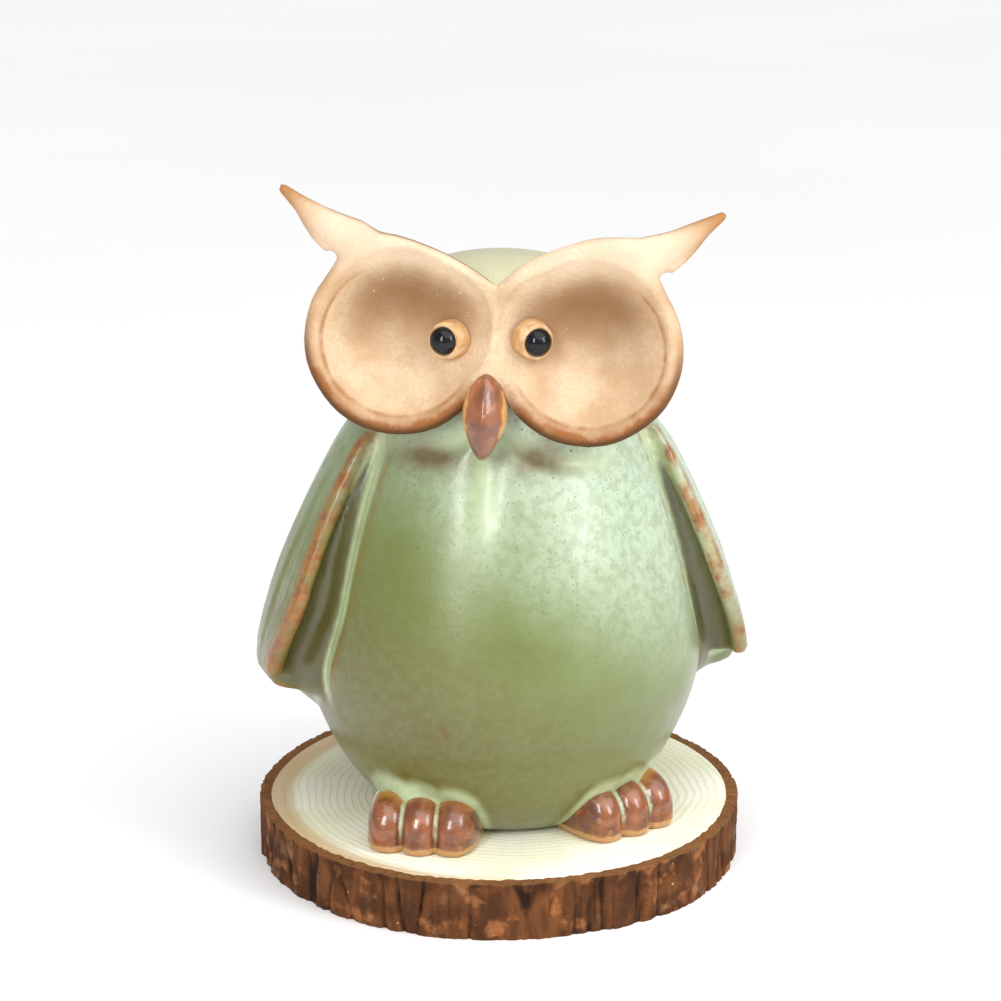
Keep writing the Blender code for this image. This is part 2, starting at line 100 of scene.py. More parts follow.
# %% Selecting, applying and measuring


def pick(obj):
    """Selects one object alone, and makes it active."""
    bpy.ops.object.select_all(action="DESELECT")
    obj.select_set(True)
    bpy.context.view_layer.objects.active = obj
    return obj


def apply_all(obj):
    """Applies the object's modifiers in their order."""
    pick(obj)
    for modifier in list(obj.modifiers):
        bpy.ops.object.modifier_apply(modifier=modifier.name)
    return obj


def settle(obj):
    """Moves the object's place, turn and size into its mesh."""
    pick(obj)
    bpy.ops.object.transform_apply(location=True, rotation=True, scale=True)
    return obj


def new_piece(name):
    """Names the object that an operator has just made."""
    obj = bpy.context.active_object
    obj.name = name
    obj.data.name = name
    return obj


def points_of(obj):
    """The object's vertices as an array of shape (count, 3)."""
    flat = np.empty(len(obj.data.vertices) * 3)
    obj.data.vertices.foreach_get("co", flat)
    return flat.reshape(-1, 3)


def normals_of(obj):
    """The vertex normals as an array of shape (count, 3)."""
    flat = np.empty(len(obj.data.vertices) * 3)
    obj.data.vertex_normals.foreach_get("vector", flat)
    return flat.reshape(-1, 3)


def move_points(obj, points):
    """Writes the vertices back."""
    obj.data.vertices.foreach_set("co", points.ravel())
    obj.data.update()


def write_mask(obj, name, values):
    """Stores one number for each vertex, for a material to read."""
    mask = obj.data.attributes.new(name, "FLOAT", "POINT")
    mask.data.foreach_set("value", np.asarray(values, np.float32))


def step(values, start, end):
    """A smooth step from 0 at start to 1 at end."""
    share = np.clip((values - start) / (end - start), 0, 1)
    return share * share * (3 - 2 * share)


def in_frame(points, placing):
    """Points seen from a placing's own frame."""
    back = np.array(placing.inverted())
    return points @ back[:3, :3].T + back[:3, 3]


def wavy(points, size, seed):
    """Smooth noise from -1 to 1 at each point, as uneven as a hand leaves clay."""
    shift = Vector((seed, 2.7 * seed, -1.3 * seed))
    return np.array([noise.noise(Vector(point) / size + shift) for point in points])


# %% Clay: lumps, joins and a wet sponge


def ball(name, radii, placing, segments=64):
    """An egg-shaped lump, with its radii along its placing's axes."""
    bpy.ops.object.select_all(action="DESELECT")
    bpy.ops.mesh.primitive_uv_sphere_add(segments=segments, ring_count=segments // 2, radius=1)
    obj = new_piece(name)
    obj.matrix_world = placing @ Matrix.Diagonal((*radii, 1))
    return settle(obj)


def thrown(name, profile, segments=144):
    """A lump pulled up from a disc, ring by ring, as on a wheel. Heights are above the soles."""
    radius, height = profile[0]
    bpy.ops.object.select_all(action="DESELECT")
    bpy.ops.mesh.primitive_circle_add(
        vertices=segments,
        radius=radius,
        fill_type="NGON",
        location=owl_axis + Vector((0, 0, height)),
    )
    obj = new_piece(name)
    bpy.ops.object.mode_set(mode="EDIT")
    for (last_radius, last_height), (radius, height) in zip(profile, profile[1:]):
        bpy.ops.mesh.extrude_region_move(
            TRANSFORM_OT_translate={"value": (0, 0, height - last_height)}
        )
        pull = radius / last_radius
        middle = owl_axis + Vector((0, 0, height))
        bpy.ops.transform.resize(value=(pull, pull, 1), center_override=middle)
    bpy.ops.mesh.select_all(action="SELECT")
    bpy.ops.mesh.normals_make_consistent(inside=False)
    bpy.ops.object.mode_set(mode="OBJECT")
    return settle(obj)


def cast_of(node, swell=0.0):
    """A welded copy of a CAD piece, swollen a little so that it runs into its neighbours."""
    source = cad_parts[node]
    obj = bpy.data.objects.new(node + "_cast", source.data.copy())
    obj.data.materials.clear()
    bpy.context.scene.collection.objects.link(obj)
    pick(obj)
    bpy.ops.object.mode_set(mode="EDIT")
    bpy.ops.mesh.select_all(action="SELECT")
    bpy.ops.mesh.remove_doubles(threshold=0.01 * MM)
    bpy.ops.mesh.normals_make_consistent(inside=False)
    bpy.ops.object.mode_set(mode="OBJECT")
    if swell:
        move_points(obj, points_of(obj) + swell * normals_of(obj))
    return obj


def press_together(name, lumps, grain, wipes):
    """Joins lumps into one skin of small even quads, and wipes it smooth."""
    bpy.ops.object.select_all(action="DESELECT")
    for lump in lumps:
        lump.select_set(True)
    bpy.context.view_layer.objects.active = lumps[0]
    if len(lumps) > 1:
        bpy.ops.object.join()
    obj = new_piece(name)
    remesh = obj.modifiers.new("press", "REMESH")
    remesh.mode = "VOXEL"
    remesh.voxel_size = grain
    sponge = obj.modifiers.new("wipe", "SMOOTH")
    sponge.factor = 0.5
    sponge.iterations = wipes
    apply_all(obj)
    obj.data.shade_smooth()
    print(name, len(obj.data.polygons), "faces")
    return obj


def cut_with(obj, cutter):
    """Cuts the cutter's shape out of the object, and throws the cutter away."""
    cut = obj.modifiers.new("cut", "BOOLEAN")
    cut.operation = "DIFFERENCE"
    cut.solver = "EXACT"
    cut.object = cutter
    apply_all(obj)
    bpy.data.objects.remove(cutter)
    return obj


# %% [markdown]
# ## How glaze behaves
#
# Glaze is thin where the clay bulges, so it breaks to brown on every ridge, and it runs into
# hollows, where it pools pale and thick. Both are read off the shape: at each point the mean of
# the neighbours lies below the surface on a ridge and above it in a hollow. Averaging that over
# a few millimetres leaves the ridges and hollows that matter to glaze.

# %% Bulge and hollow masks


def spread_over(values, edges, counts, times):
    """Averages values with their neighbours', several times over."""
    for _ in range(times):
        total = np.bincount(edges[:, 0], values[edges[:, 1]], len(values))
        total += np.bincount(edges[:, 1], values[edges[:, 0]], len(values))
        values = 0.5 * values + 0.5 * total / counts
    return values


def bulge_of(obj, times):
    """How much the surface bulges, in 1/mm: above 0 on ridges and below 0 in hollows."""
    mesh = obj.data
    edges = np.empty(len(mesh.edges) * 2, np.int64)
    mesh.edges.foreach_get("vertices", edges)
    edges = edges.reshape(-1, 2)
    points = points_of(obj)
    counts = np.maximum(np.bincount(edges.ravel(), minlength=len(points)), 1)
    lengths = np.linalg.norm(points[edges[:, 0]] - points[edges[:, 1]], axis=1)
    means = np.empty_like(points)
    for axis in range(3):
        total = np.bincount(edges[:, 0], points[edges[:, 1], axis], len(points))
        total += np.bincount(edges[:, 1], points[edges[:, 0], axis], len(points))
        means[:, axis] = total / counts
    below = ((points - means) * normals_of(obj)).sum(axis=1)
    curved = 4 * below / np.mean(lengths) ** 2 * MM
    return spread_over(curved, edges, counts, times)


# %% [markdown]
# ## The body
#
# The body, the head's cap and the wings are one skin under the glaze, so they are pressed
# together here: an egg thrown on the wheel, a cap thrown to fit its neck, casts of the two wings
# with a roll along their front edges, and a lump of clay over each foot. A separate object for
# each would show a hard line where the potter's thumb left a soft one.

# %% Throw the egg and the cap
BELLY_HEIGHT = 40 * MM
BASE_RADIUS = 25 * MM
BELLY_ROUNDNESS = 1.6
SHOULDER_ROUNDNESS = 1.5
HEAD_WIDEST_HEIGHT = 112 * MM
HEAD_RADIUS = 32.5 * MM
CROWN_FLATNESS = 2.3
CROWN_MARGIN = 1 * MM

neck_height = body_high.z - sole
crown_height = head_high.z - CROWN_MARGIN - sole


def body_radius(height):
    """The egg's radius at a height above the soles."""
    if height < BELLY_HEIGHT:
        down = (BELLY_HEIGHT - height) / BELLY_HEIGHT
        out = (1 - down**BELLY_ROUNDNESS) ** (1 / BELLY_ROUNDNESS)
        return BASE_RADIUS + (belly_radius - BASE_RADIUS) * out
    up = (height - BELLY_HEIGHT) / (neck_height - BELLY_HEIGHT)
    return belly_radius - (belly_radius - neck_radius) * up**SHOULDER_ROUNDNESS


def cap_radius(height):
    """The cap's radius at a height above the soles."""
    if height < HEAD_WIDEST_HEIGHT:
        share = (height - neck_height) / (HEAD_WIDEST_HEIGHT - neck_height)
        return neck_radius + (HEAD_RADIUS - neck_radius) * share * share * (3 - 2 * share)
    up = (height - HEAD_WIDEST_HEIGHT) / (crown_height - HEAD_WIDEST_HEIGHT)
    return HEAD_RADIUS * max(0, 1 - up**CROWN_FLATNESS) ** (1 / CROWN_FLATNESS)


egg_profile = [
    (body_radius(height), height) for height in neck_height * np.linspace(0, 1, 48) ** 1.5
]
cap_profile = [
    (max(cap_radius(height), 1 * MM), height)
    for height in neck_height
    + (crown_height - neck_height) * np.sin(np.linspace(0, math.pi / 2, 28))
]
egg = thrown("egg", egg_profile)
cap = thrown("cap", [(neck_radius, neck_height - 3 * MM)] + cap_profile)
print("egg and cap:", len(egg.data.vertices) + len(cap.data.vertices), "points")

# %% [markdown]
# The front edge of each wing is a thick rounded roll of clay, and below it the wing's front face
# drops back to a crease in the body. Both are rows of small lumps, from the shoulder down to the
# wing's corner, set at angles round the owl's axis. The lumps behind the roll fill the space as
# far as the casts of the wings. The two rolls differ a little in their lean.

# %% Roll the wings' front edges
WING_TOP = 96 * MM
WING_CORNER = 35.5 * MM
WING_FLARE = 12.2 * MM
SHOULDER_STAND = 2 * MM
ROLL_RADIUS = 2.5 * MM
ROLL_STEPS = 28
CORNER_SHARE = 1.05

# For each wing, in degrees: the roll's place at the shoulder, how far it swings back towards the
# corner, and the share of its length where it starts to.
EDGE_LEANS = {-1: (-17.5, 9, 0.6), 1: (-20.5, 8, 0.55)}
CREASE_LEAN = (-22.5, 6, 0.65)

# The lumps across a roll: degrees behind the edge, and the share of the wing's standing height.
LUMPS_ACROSS = (
    (0, 1), (3.2, 1), (6.4, 1), (9.6, 0.98), (3.2, 0.78), (6.4, 0.7), (9.6, 0.7),
    (3.6, 0.5), (7, 0.4), (3.8, 0.2),
)


def wing_share(height):
    """0 at the top of the wing and 1 at its front corner."""
    return np.clip((WING_TOP - height) / (WING_TOP - WING_CORNER), 0, 1)


def edge_angle(share, side):
    """Degrees from the owl's side to the wing's front edge. Below 0 is in front of the side."""
    at_shoulder, swing, start = EDGE_LEANS[side]
    return at_shoulder + swing * step(share, start, CORNER_SHARE)


def crease_angle(share):
    """Degrees from the owl's side to the crease where the wing meets the body."""
    at_shoulder, swing, start = CREASE_LEAN
    return at_shoulder + swing * step(share, start, CORNER_SHARE)


def wing_stand(share):
    """How far the roll stands off the body."""
    return SHOULDER_STAND + (WING_FLARE - SHOULDER_STAND) * share**0.65


def side_point(side, angle, radius, height):
    """A point on the owl's left (1) or right (-1) side."""
    turn = math.radians(angle)
    return owl_axis + Vector((side * radius * math.cos(turn), radius * math.sin(turn), height))


rolls = []
for side in (-1, 1):
    for share in np.linspace(0.04, 0.94, ROLL_STEPS):
        height = WING_TOP - (WING_TOP - WING_CORNER) * share
        radius = ROLL_RADIUS * (0.62 + 0.38 * share)
        stand = wing_stand(share) - radius
        for behind, out in LUMPS_ACROSS:
            reach = body_radius(height) + stand * out
            place = side_point(side, edge_angle(share, side) + behind, reach, height)
            rolls.append(ball("roll", (radius,) * 3, Matrix.Translation(place), 16))
print("wing edges:", len(rolls), "lumps")

# %% Lumps over the feet
INSTEP_RADII = (14 * MM, 11 * MM, 10.5 * MM)
INSTEP_BACK = 5.5 * MM

insteps = []
for side in ("left", "right"):
    foot_low, foot_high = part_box(f"foot_{side}")
    middle = (foot_low + foot_high) / 2
    toward_axis = (owl_axis - middle).to_2d().normalized().to_3d()
    place = middle + toward_axis * INSTEP_BACK
    place.z = sole + INSTEP_RADII[2]
    insteps.append(ball(f"instep_{side}", INSTEP_RADII, Matrix.Translation(place)))
print("insteps:", len(insteps))

# %% Press the body together
BODY_GRAIN = 0.86 * MM
BODY_WIPES = 9
HEM_TUCK = 29 * MM
HEM_SKIN = 0.8 * MM
WING_ROOM = 14 * MM
WING_SWELL = 0.6 * MM

wings = [cast_of(node, WING_SWELL) for node in ("wing_left", "wing_right")]
for wing in wings:
    points = points_of(wing)
    across = points[:, :2] - np.array(owl_axis)[:2]
    reach = np.hypot(across[:, 0], across[:, 1])
    height = points[:, 2] - sole
    allowed = np.array([body_radius(max(h, 0)) for h in height])
    allowed += HEM_SKIN + WING_ROOM * step(height, HEM_TUCK, WING_CORNER)
    points[:, :2] = np.array(owl_axis)[:2] + across * np.minimum(1, allowed / reach)[:, None]
    move_points(wing, points)
glazed_body = press_together(
    "glazed_body", [egg, cap, *wings, *rolls, *insteps], BODY_GRAIN, BODY_WIPES
)

# %% [markdown]
# ### Finger marks
#
# A thumb has been drawn along under each dish of the face and down from the beak, which leaves
# two shallow arches over the chest, and a tool has cleaned out the crease beside each wing. They
# are pressed in by moving points along their normals, as far as a smooth bump function of their
# distance from each stroke says.

# %% Press in the arches and the throat
STROKE_DEPTH = 1.1 * MM
STROKE_WIDTH = 2.6 * MM
CREASE_DEPTH = 1.2 * MM
DRIP_PLACE = (-21.3 * MM, -42.3 * MM, 31.9 * MM)
DRIP_ANGLE = math.radians(-26.7)
ARCH_RADIUS = DISC_RADIUS + 5.5 * MM
THROAT_LENGTH = 34 * MM

body_points = points_of(glazed_body)
on_face = in_frame(body_points, face_frame)
in_front = step(-on_face[:, 1], 15 * MM, 24 * MM)
height = body_points[:, 2] - sole
across = body_points[:, :2] - np.array(owl_axis)[:2]
reach = np.hypot(across[:, 0], across[:, 1])
from_side = np.degrees(np.arctan2(across[:, 1], np.abs(across[:, 0])))
share = wing_share(height)
past_crease = np.radians(from_side - crease_angle(share)) * reach
edge_turn = np.where(across[:, 0] < 0, edge_angle(share, -1), edge_angle(share, 1))
past_edge = np.radians(from_side - edge_turn) * reach
stands = reach - np.array([body_radius(max(h, 0)) for h in height])
beside_wing = step(height, WING_CORNER - 6 * MM, WING_CORNER) * (
    1 - step(height, WING_TOP - 4 * MM, WING_TOP + 4 * MM)
)
crease = np.exp(-((past_crease / (1.7 * MM)) ** 2)) * beside_wing
crease *= 1 - step(stands, 1.5 * MM, 4 * MM)
below_roll = stands - wing_stand(share)
on_roll = step(below_roll, -4.4 * MM, -3 * MM)
wing_face = step(past_crease, 0.2 * MM, 1.6 * MM) * (1 - step(past_edge, 1.5 * MM, 3 * MM))
wing_face *= (1 - on_roll) * beside_wing
wing_edge = np.exp(-(((past_edge - 0.4 * MM) / (1.6 * MM)) ** 2)) * on_roll * beside_wing
wing_edge *= np.where(across[:, 0] < 0, 1, 0.6)
strokes = np.zeros(len(body_points))
for side in (-1, 1):
    from_disc = np.hypot(on_face[:, 0] - side * DISC_SPACING / 2, on_face[:, 2]) - ARCH_RADIUS
    lower_half = step(-on_face[:, 2], 8 * MM, 16 * MM)
    own_side = step(side * on_face[:, 0], -1 * MM, 1 * MM)
    arch = np.exp(-((from_disc / STROKE_WIDTH) ** 2))
    strokes = np.maximum(strokes, arch * lower_half * own_side)
throat = np.exp(-((on_face[:, 0] / (1.3 * STROKE_WIDTH)) ** 2))
throat *= step(on_face[:, 2], -FACE_FRONT - THROAT_LENGTH / 2, -FACE_FRONT + THROAT_LENGTH / 4)
strokes = np.maximum(strokes, throat) * in_front
unevenness = 0.35 * MM * wavy(body_points, 26 * MM, 3)
pressed = strokes * STROKE_DEPTH + crease * CREASE_DEPTH
moved = body_points + normals_of(glazed_body) * (unevenness - pressed)[:, None]
moved[:, 2] = np.maximum(moved[:, 2], sole)
moved[:, 0] = np.clip(moved[:, 0], bark_low.x, bark_high.x)
move_points(glazed_body, moved)
print("deepest finger mark", round(strokes.max() * STROKE_DEPTH / MM, 2), "mm")

# %% [markdown]
# ### Toes
#
# Each foot is three short fat toes side by side. Their places are needed now, because the green
# glaze runs down over the insteps and stops, pale and thick, where the toes begin. A toe is a lump
# a little squarer than an egg.

# %% Where the toes are
FOOT_SPACING = 45 * MM
FOOT_FORWARD = 24.5 * MM
FOOT_SPLAY = math.radians(23)
STANCE_TURN = math.radians(3)
STANCE_ASIDE = -2 * MM
TOE_PITCH = 7.9 * MM
TOE_RADII = (5.5 * MM, 13 * MM, 10.2 * MM)
TOE_CENTRE = 2.6 * MM
TOE_SQUARENESS = 2.6

stance = Matrix.Translation(owl_axis) @ Matrix.Rotation(STANCE_TURN, 4, "Z")
toe_places = {}
for side, word in ((-1, "right"), (1, "left")):
    foot_frame = (
        stance
        @ Matrix.Translation((side * FOOT_SPACING / 2 + STANCE_ASIDE, -FOOT_FORWARD, TOE_CENTRE))
        @ Matrix.Rotation(side * FOOT_SPLAY, 4, "Z")
    )
    toe_places[word] = [
        foot_frame @ Matrix.Translation((TOE_PITCH * index, 0.7 * MM * abs(index), 0))
        for index in (-1, 0, 1)
    ]


def toe_reach(points, placing):
    """1 on a toe's surface, less inside it and more outside."""
    scaled = np.abs(in_frame(points, placing)) / np.array(TOE_RADII)
    return (scaled**TOE_SQUARENESS).sum(axis=1) ** (1 / TOE_SQUARENESS)


from_toes = np.min(
    [toe_reach(moved, place) for places in toe_places.values() for place in places], axis=0
)
print("points of the body near the toes:", int((from_toes < 1.2).sum()))

# %% Where the glaze is thin and where it pools
CHIN_PATCHES = ((-13.5, 27.2, 9, 3.2), (11.5, 25.8, 7, 4))

bulge = bulge_of(glazed_body, 8)
write_mask(glazed_body, "thin", step(bulge, 0.10, 0.42))
write_mask(glazed_body, "pool", step(-bulge, 0.03, 0.30))
write_mask(glazed_body, "wing_edge", wing_edge)
write_mask(glazed_body, "wing_face", wing_face)
write_mask(glazed_body, "crease_side", past_crease / MM)
write_mask(glazed_body, "beside_wing", beside_wing)
write_mask(glazed_body, "stroke", strokes)
chin = np.zeros(len(moved))
for aside, down, wide, tall in CHIN_PATCHES:
    spread = ((on_face[:, 0] - aside * MM) / (wide * MM)) ** 2
    spread += ((on_face[:, 2] + down * MM) / (tall * MM)) ** 2
    chin = np.maximum(chin, np.exp(-spread))
write_mask(glazed_body, "chin", chin * in_front)
from_drip = moved - np.array(owl_axis + Vector(DRIP_PLACE))
along_front = from_drip[:, 0] * math.cos(DRIP_ANGLE) + from_drip[:, 1] * math.sin(DRIP_ANGLE)
drip = (along_front / (1.1 * MM)) ** 2 + (from_drip[:, 2] / (2.7 * MM)) ** 2
write_mask(glazed_body, "drip", np.exp(-drip) * (moved[:, 1] < owl_axis.y))
write_mask(glazed_body, "from_toes", from_toes)
rim_distance = np.full(len(moved), 1.0)
for side in (-1, 1):
    from_disc = np.hypot(on_face[:, 0] - side * DISC_SPACING / 2, on_face[:, 2]) - DISC_RADIUS
    rim_distance = np.minimum(rim_distance, np.abs(from_disc - 2.4 * MM))
write_mask(glazed_body, "pin_line", (1 - step(rim_distance, 0.4 * MM, 1.8 * MM)) * in_front)
print("bulge from", round(bulge.min(), 2), "to", round(bulge.max(), 2), "per mm")

# %% [markdown]
# ## The face
#
# The face is one slab of clay pressed into two dishes, with a thick brow that runs out into an ear
# tuft on each side like a horn. Casts of the three CAD pieces are trimmed to the brow's top line
# and the tufts' lower lines, then joined to a roll of clay along the brow and another down the
# middle of each tuft. Two finely divided balls cut each dish, a wide one and a smaller one nearer
# the beak, which leaves narrow rims.

# %% Roll the brow and fill out the tufts
NOTCH_HEIGHT = 15.6 * MM
BROW_HEIGHT = 26 * MM
BROW_ROLL = 2.9 * MM
TUFT_START = 30.8 * MM
TUFT_ROOT = (33 * MM, 16.5 * MM)
TUFT_TIP = (49.6 * MM, 32.8 * MM)
TUFT_SAG = 3.8 * MM
BROW_DROOP = 2.5 * MM
LUMPS_IN_LINE = 30


def brow_height(across, side):
    """The brow's top line, up from the notch between the eyes. The right brow droops further."""
    share = np.clip(across / (DISC_SPACING / 2 + 6 * MM), 0, 1)
    height = NOTCH_HEIGHT + (BROW_HEIGHT - NOTCH_HEIGHT) * np.sin(math.pi / 2 * share)
    if side < 0:
        return height - BROW_DROOP * (1 - step(across, 26 * MM, 34 * MM))
    return height - BROW_DROOP * (1 - step(across, 0, 9 * MM))


def tuft_underside(across):
    """The lower line of a tuft, from its root on the dish's rim to its tip."""
    share = np.clip((across - TUFT_ROOT[0]) / (TUFT_TIP[0] - TUFT_ROOT[0]), 0, 1)
    sag = TUFT_SAG * np.sin(math.pi * share)
    return TUFT_ROOT[1] + (TUFT_TIP[1] - TUFT_ROOT[1]) * share - sag


face_lumps = []
for side in (-1, 1):
    for across in np.linspace(1.5 * MM, TUFT_START + 2 * MM, LUMPS_IN_LINE):
        up = brow_height(across, side) - BROW_ROLL
        place = Vector((side * across, -FACE_FRONT + 2.4 * MM, up))
        lump = ball("brow", (BROW_ROLL,) * 3, face_frame @ Matrix.Translation(place), 20)
        face_lumps.append(lump)
    for share in np.linspace(0, 0.97, LUMPS_IN_LINE):
        across = (32 + (TUFT_TIP[0] / MM - 32) * share) * MM
        up = (21.2 + (TUFT_TIP[1] / MM - 21.8) * share**1.15) * MM
        thick = (4.9 - 3.8 * share) * MM
        deep = -FACE_FRONT + 3.2 * MM + 3 * MM * share * share
        placing = face_frame @ Matrix.Translation((side * across, deep, up))
        face_lumps.append(ball("tuft", (thick, 0.84 * thick, thick), placing, 24))
print("brow and tufts:", len(face_lumps), "lumps")

# %% Press and wipe the face
DISH_RADIUS = 24.8 * MM
DISH_DEPTH = 7.9 * MM
DISH_STRETCH = 1.09
DISH_RISE = 1.2 * MM
INNER_SHIFT = 7.3 * MM
INNER_RISE = 3.2 * MM
INNER_RADIUS = 17.4 * MM
INNER_DEPTH = 6.5 * MM
FACE_GRAIN = 0.5 * MM
FACE_WIPES = 5

face_casts = [cast_of(node, 0.25 * MM) for node in ("face_mask", "ear_tuft_left", "ear_tuft_right")]
to_room = np.array(face_frame)
for cast in face_casts:
    points = in_frame(points_of(cast), face_frame)
    across = np.abs(points[:, 0])
    brow = np.where(points[:, 0] < 0, brow_height(across, -1), brow_height(across, 1))
    on_brow = across < TUFT_START
    points[:, 2] = np.where(on_brow, np.minimum(points[:, 2], brow), points[:, 2])
    if cast != face_casts[0]:
        points[:, 2] = np.maximum(points[:, 2], tuft_underside(across))
    move_points(cast, points @ to_room[:3, :3].T + to_room[:3, 3])
face = press_together("bare_face", face_casts + face_lumps, FACE_GRAIN, 2)
DISHES = (
    (0, DISH_RISE, DISH_RADIUS, DISH_DEPTH),
    (INNER_SHIFT, INNER_RISE, INNER_RADIUS, INNER_DEPTH),
)
for side in (-1, 1):
    for inward, rise, radius, depth in DISHES:
        across = side * (DISC_SPACING / 2 - inward)
        centre = Vector((across, -FACE_FRONT - radius + depth, rise))
        radii = (radius, radius, radius * DISH_STRETCH)
        dish = ball("dish", radii, face_frame @ Matrix.Translation(centre), segments=160)
        cut_with(face, dish)
face = press_together("bare_face", [face], FACE_GRAIN, FACE_WIPES)

# %% [markdown]
# Between the eyes the two dishes run into each other over a low saddle, and the raised rims only
# start below it, each side of the beak. A pointed tool has then scored a fine line inside each rim.

# %% Lower the saddle and score the line
SADDLE_DEPTH = 1.8 * MM
GROOVE_RADIUS = 17.3 * MM
GROOVE_DEPTH = 0.45 * MM

face_points = points_of(face)
on_face = in_frame(face_points, face_frame)
facing_out = step(-in_frame(normals_of(face), face_frame.to_3x3().to_4x4())[:, 1], 0.1, 0.5)
saddle = np.exp(-((on_face[:, 0] / (5.5 * MM)) ** 2)) * step(on_face[:, 2], 0, 6 * MM)
saddle *= (1 - step(on_face[:, 2], 9 * MM, 17 * MM)) * facing_out
from_rim = np.full(len(face_points), -1.0)
scored = np.zeros(len(face_points))
for side in (-1, 1):
    beside = on_face[:, 0] - side * DISC_SPACING / 2
    reach = np.hypot(beside, on_face[:, 2])
    from_rim = np.maximum(from_rim, DISC_RADIUS - reach)
    line = np.exp(-(((reach - GROOVE_RADIUS) / (0.42 * MM)) ** 2))
    low_or_outside = step(-on_face[:, 2] + 0.9 * side * beside, -9 * MM, 2 * MM)
    scored = np.maximum(scored, line * low_or_outside)
uneven = 0.25 * MM * wavy(face_points, 9 * MM, 8)
into_head = np.array(face_frame.to_3x3() @ Vector((0, 1, 0)))
shift = (saddle * SADDLE_DEPTH + scored * GROOVE_DEPTH * facing_out)[:, None] * into_head
moved = face_points + shift + uneven[:, None] * normals_of(face)
move_points(face, moved)
print("points on the scored lines:", int((scored > 0.5).sum()))

# %% Masks for the face: rim, scored line and place
write_mask(face, "from_rim", from_rim / MM)
write_mask(face, "scored", scored * facing_out)
write_mask(face, "up_face", on_face[:, 2] / MM)
write_mask(face, "across_face", on_face[:, 0] / MM)
write_mask(face, "into_head", (on_face[:, 1] + FACE_FRONT) / MM)
print("rims:", int((np.abs(from_rim) < 1 * MM).sum()), "points within 1 mm")

# %% [markdown]
# ## Eyes
#
# Each eye is a glossy black bead in a short collar of clay. The collar is a ring, wider at its foot
# where it was luted to the dish, and a little uneven. Its socket points straight out of the dish.

# %% Collars and beads
BEAD_RADIUS = 3.3 * MM
COLLAR_RING = 3.45 * MM
COLLAR_THICK = 0.75 * MM

for word in ("left", "right"):
    bead_low, bead_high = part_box(f"eye_bead_{word}")
    bead_centre = (bead_low + bead_high) / 2
    in_face = face_frame.inverted() @ bead_centre
    aim = Vector((math.copysign(DISC_SPACING / 2, in_face.x), -FACE_FRONT - 17 * MM, 0)) - in_face
    outward = (face_frame.to_3x3() @ aim).normalized()
    turn = Vector((0, 0, 1)).rotation_difference(outward).to_matrix().to_4x4()
    eye_frame = Matrix.Translation(bead_centre) @ turn

    rings = []
    for down, grow in ((0.6, 0), (1.4, 0.15), (2.4, 0.4), (3.6, 0.8)):
        bpy.ops.object.select_all(action="DESELECT")
        bpy.ops.mesh.primitive_torus_add(
            major_radius=COLLAR_RING + 0.5 * grow * MM,
            minor_radius=COLLAR_THICK + 0.2 * grow * MM,
            major_segments=64,
            minor_segments=20,
        )
        ring = new_piece("ring")
        ring.matrix_world = eye_frame @ Matrix.Translation((0, 0, -down * MM))
        rings.append(settle(ring))
    collar = press_together(f"collar_{word}", rings, 0.3 * MM, 6)
    points = points_of(collar)
    outward_shift = 0.18 * MM * wavy(points, 3 * MM, 5)[:, None]
    move_points(collar, points + outward_shift * normals_of(collar))
    write_mask(collar, "collar_height", in_frame(points, eye_frame)[:, 2] / MM)

    bead = ball(
        f"bead_{word}",
        (BEAD_RADIUS, BEAD_RADIUS, 0.95 * BEAD_RADIUS),
        eye_frame @ Matrix.Translation((0, 0, -0.2 * MM)),
        segments=64,
    )
    points = points_of(bead)
    bead_shift = 0.05 * MM * wavy(points, 4 * MM, 11)[:, None]
    move_points(bead, points + bead_shift * normals_of(bead))
    bead.data.shade_smooth()
    print(word, "eye:", len(collar.data.polygons) + len(bead.data.polygons), "faces")

# %% [markdown]
# ## Beak
#
# An almond of clay with a soft keel down its front, pressed over the cusp where the two rims part.
# Its flanks were wiped bare and only its front was dipped in brown glaze. It starts as a ball,
# which is pinched towards both ends and along the keel.

# %% Model the beak
BEAK_HALF = 9.95 * MM
BEAK_ASIDE = -0.9 * MM
BEAK_RADII = (5.1 * MM, 5.6 * MM, BEAK_HALF)
BEAK_TOP_DROP = 5.6 * MM

beak_place = face_frame @ Matrix.Translation(
    (BEAK_ASIDE, -FACE_FRONT, -BEAK_TOP_DROP - BEAK_HALF)
)
beak = ball("almond", (1, 1, 1), Matrix.Identity(4), segments=96)
beak.name = beak.data.name = "almond_beak"
points = points_of(beak)
along = points[:, 2].copy()
keel = np.exp(-((points[:, 0] / 0.30) ** 2)) * step(-points[:, 1], 0.2, 0.8)
width = (1 - 0.30 * step(-along, 0.0, 1.0) - 0.16 * step(along, 0.1, 1.0)) * BEAK_RADII[0]
flank = np.abs(points[:, 0])
points[:, 1] = points[:, 1] * (1 - 0.16 * flank) * BEAK_RADII[1] - keel * 0.45 * MM
points[:, 1] += 0.12 * 11 * MM * along
points[:, 0] *= width
points[:, 2] *= BEAK_RADII[2]
move_points(beak, points)
beak.matrix_world = beak_place
settle(beak)
points = points_of(beak)
move_points(beak, points + (0.12 * MM * wavy(points, 5 * MM, 21))[:, None] * normals_of(beak))
beak.data.shade_smooth()
write_mask(beak, "flank", flank)
write_mask(beak, "along", along)
print("beak:", len(beak.data.polygons), "faces")

# %% [markdown]
# ## Feet
#
# Three toes are pressed together for each foot, with the grooves between them left sharp, so only a
# few wipes. The sole is flat and unglazed, because a glazed sole would stick to the kiln shelf.

# %% Model the feet
FOOT_GRAIN = 0.38 * MM
FOOT_WIPES = 4

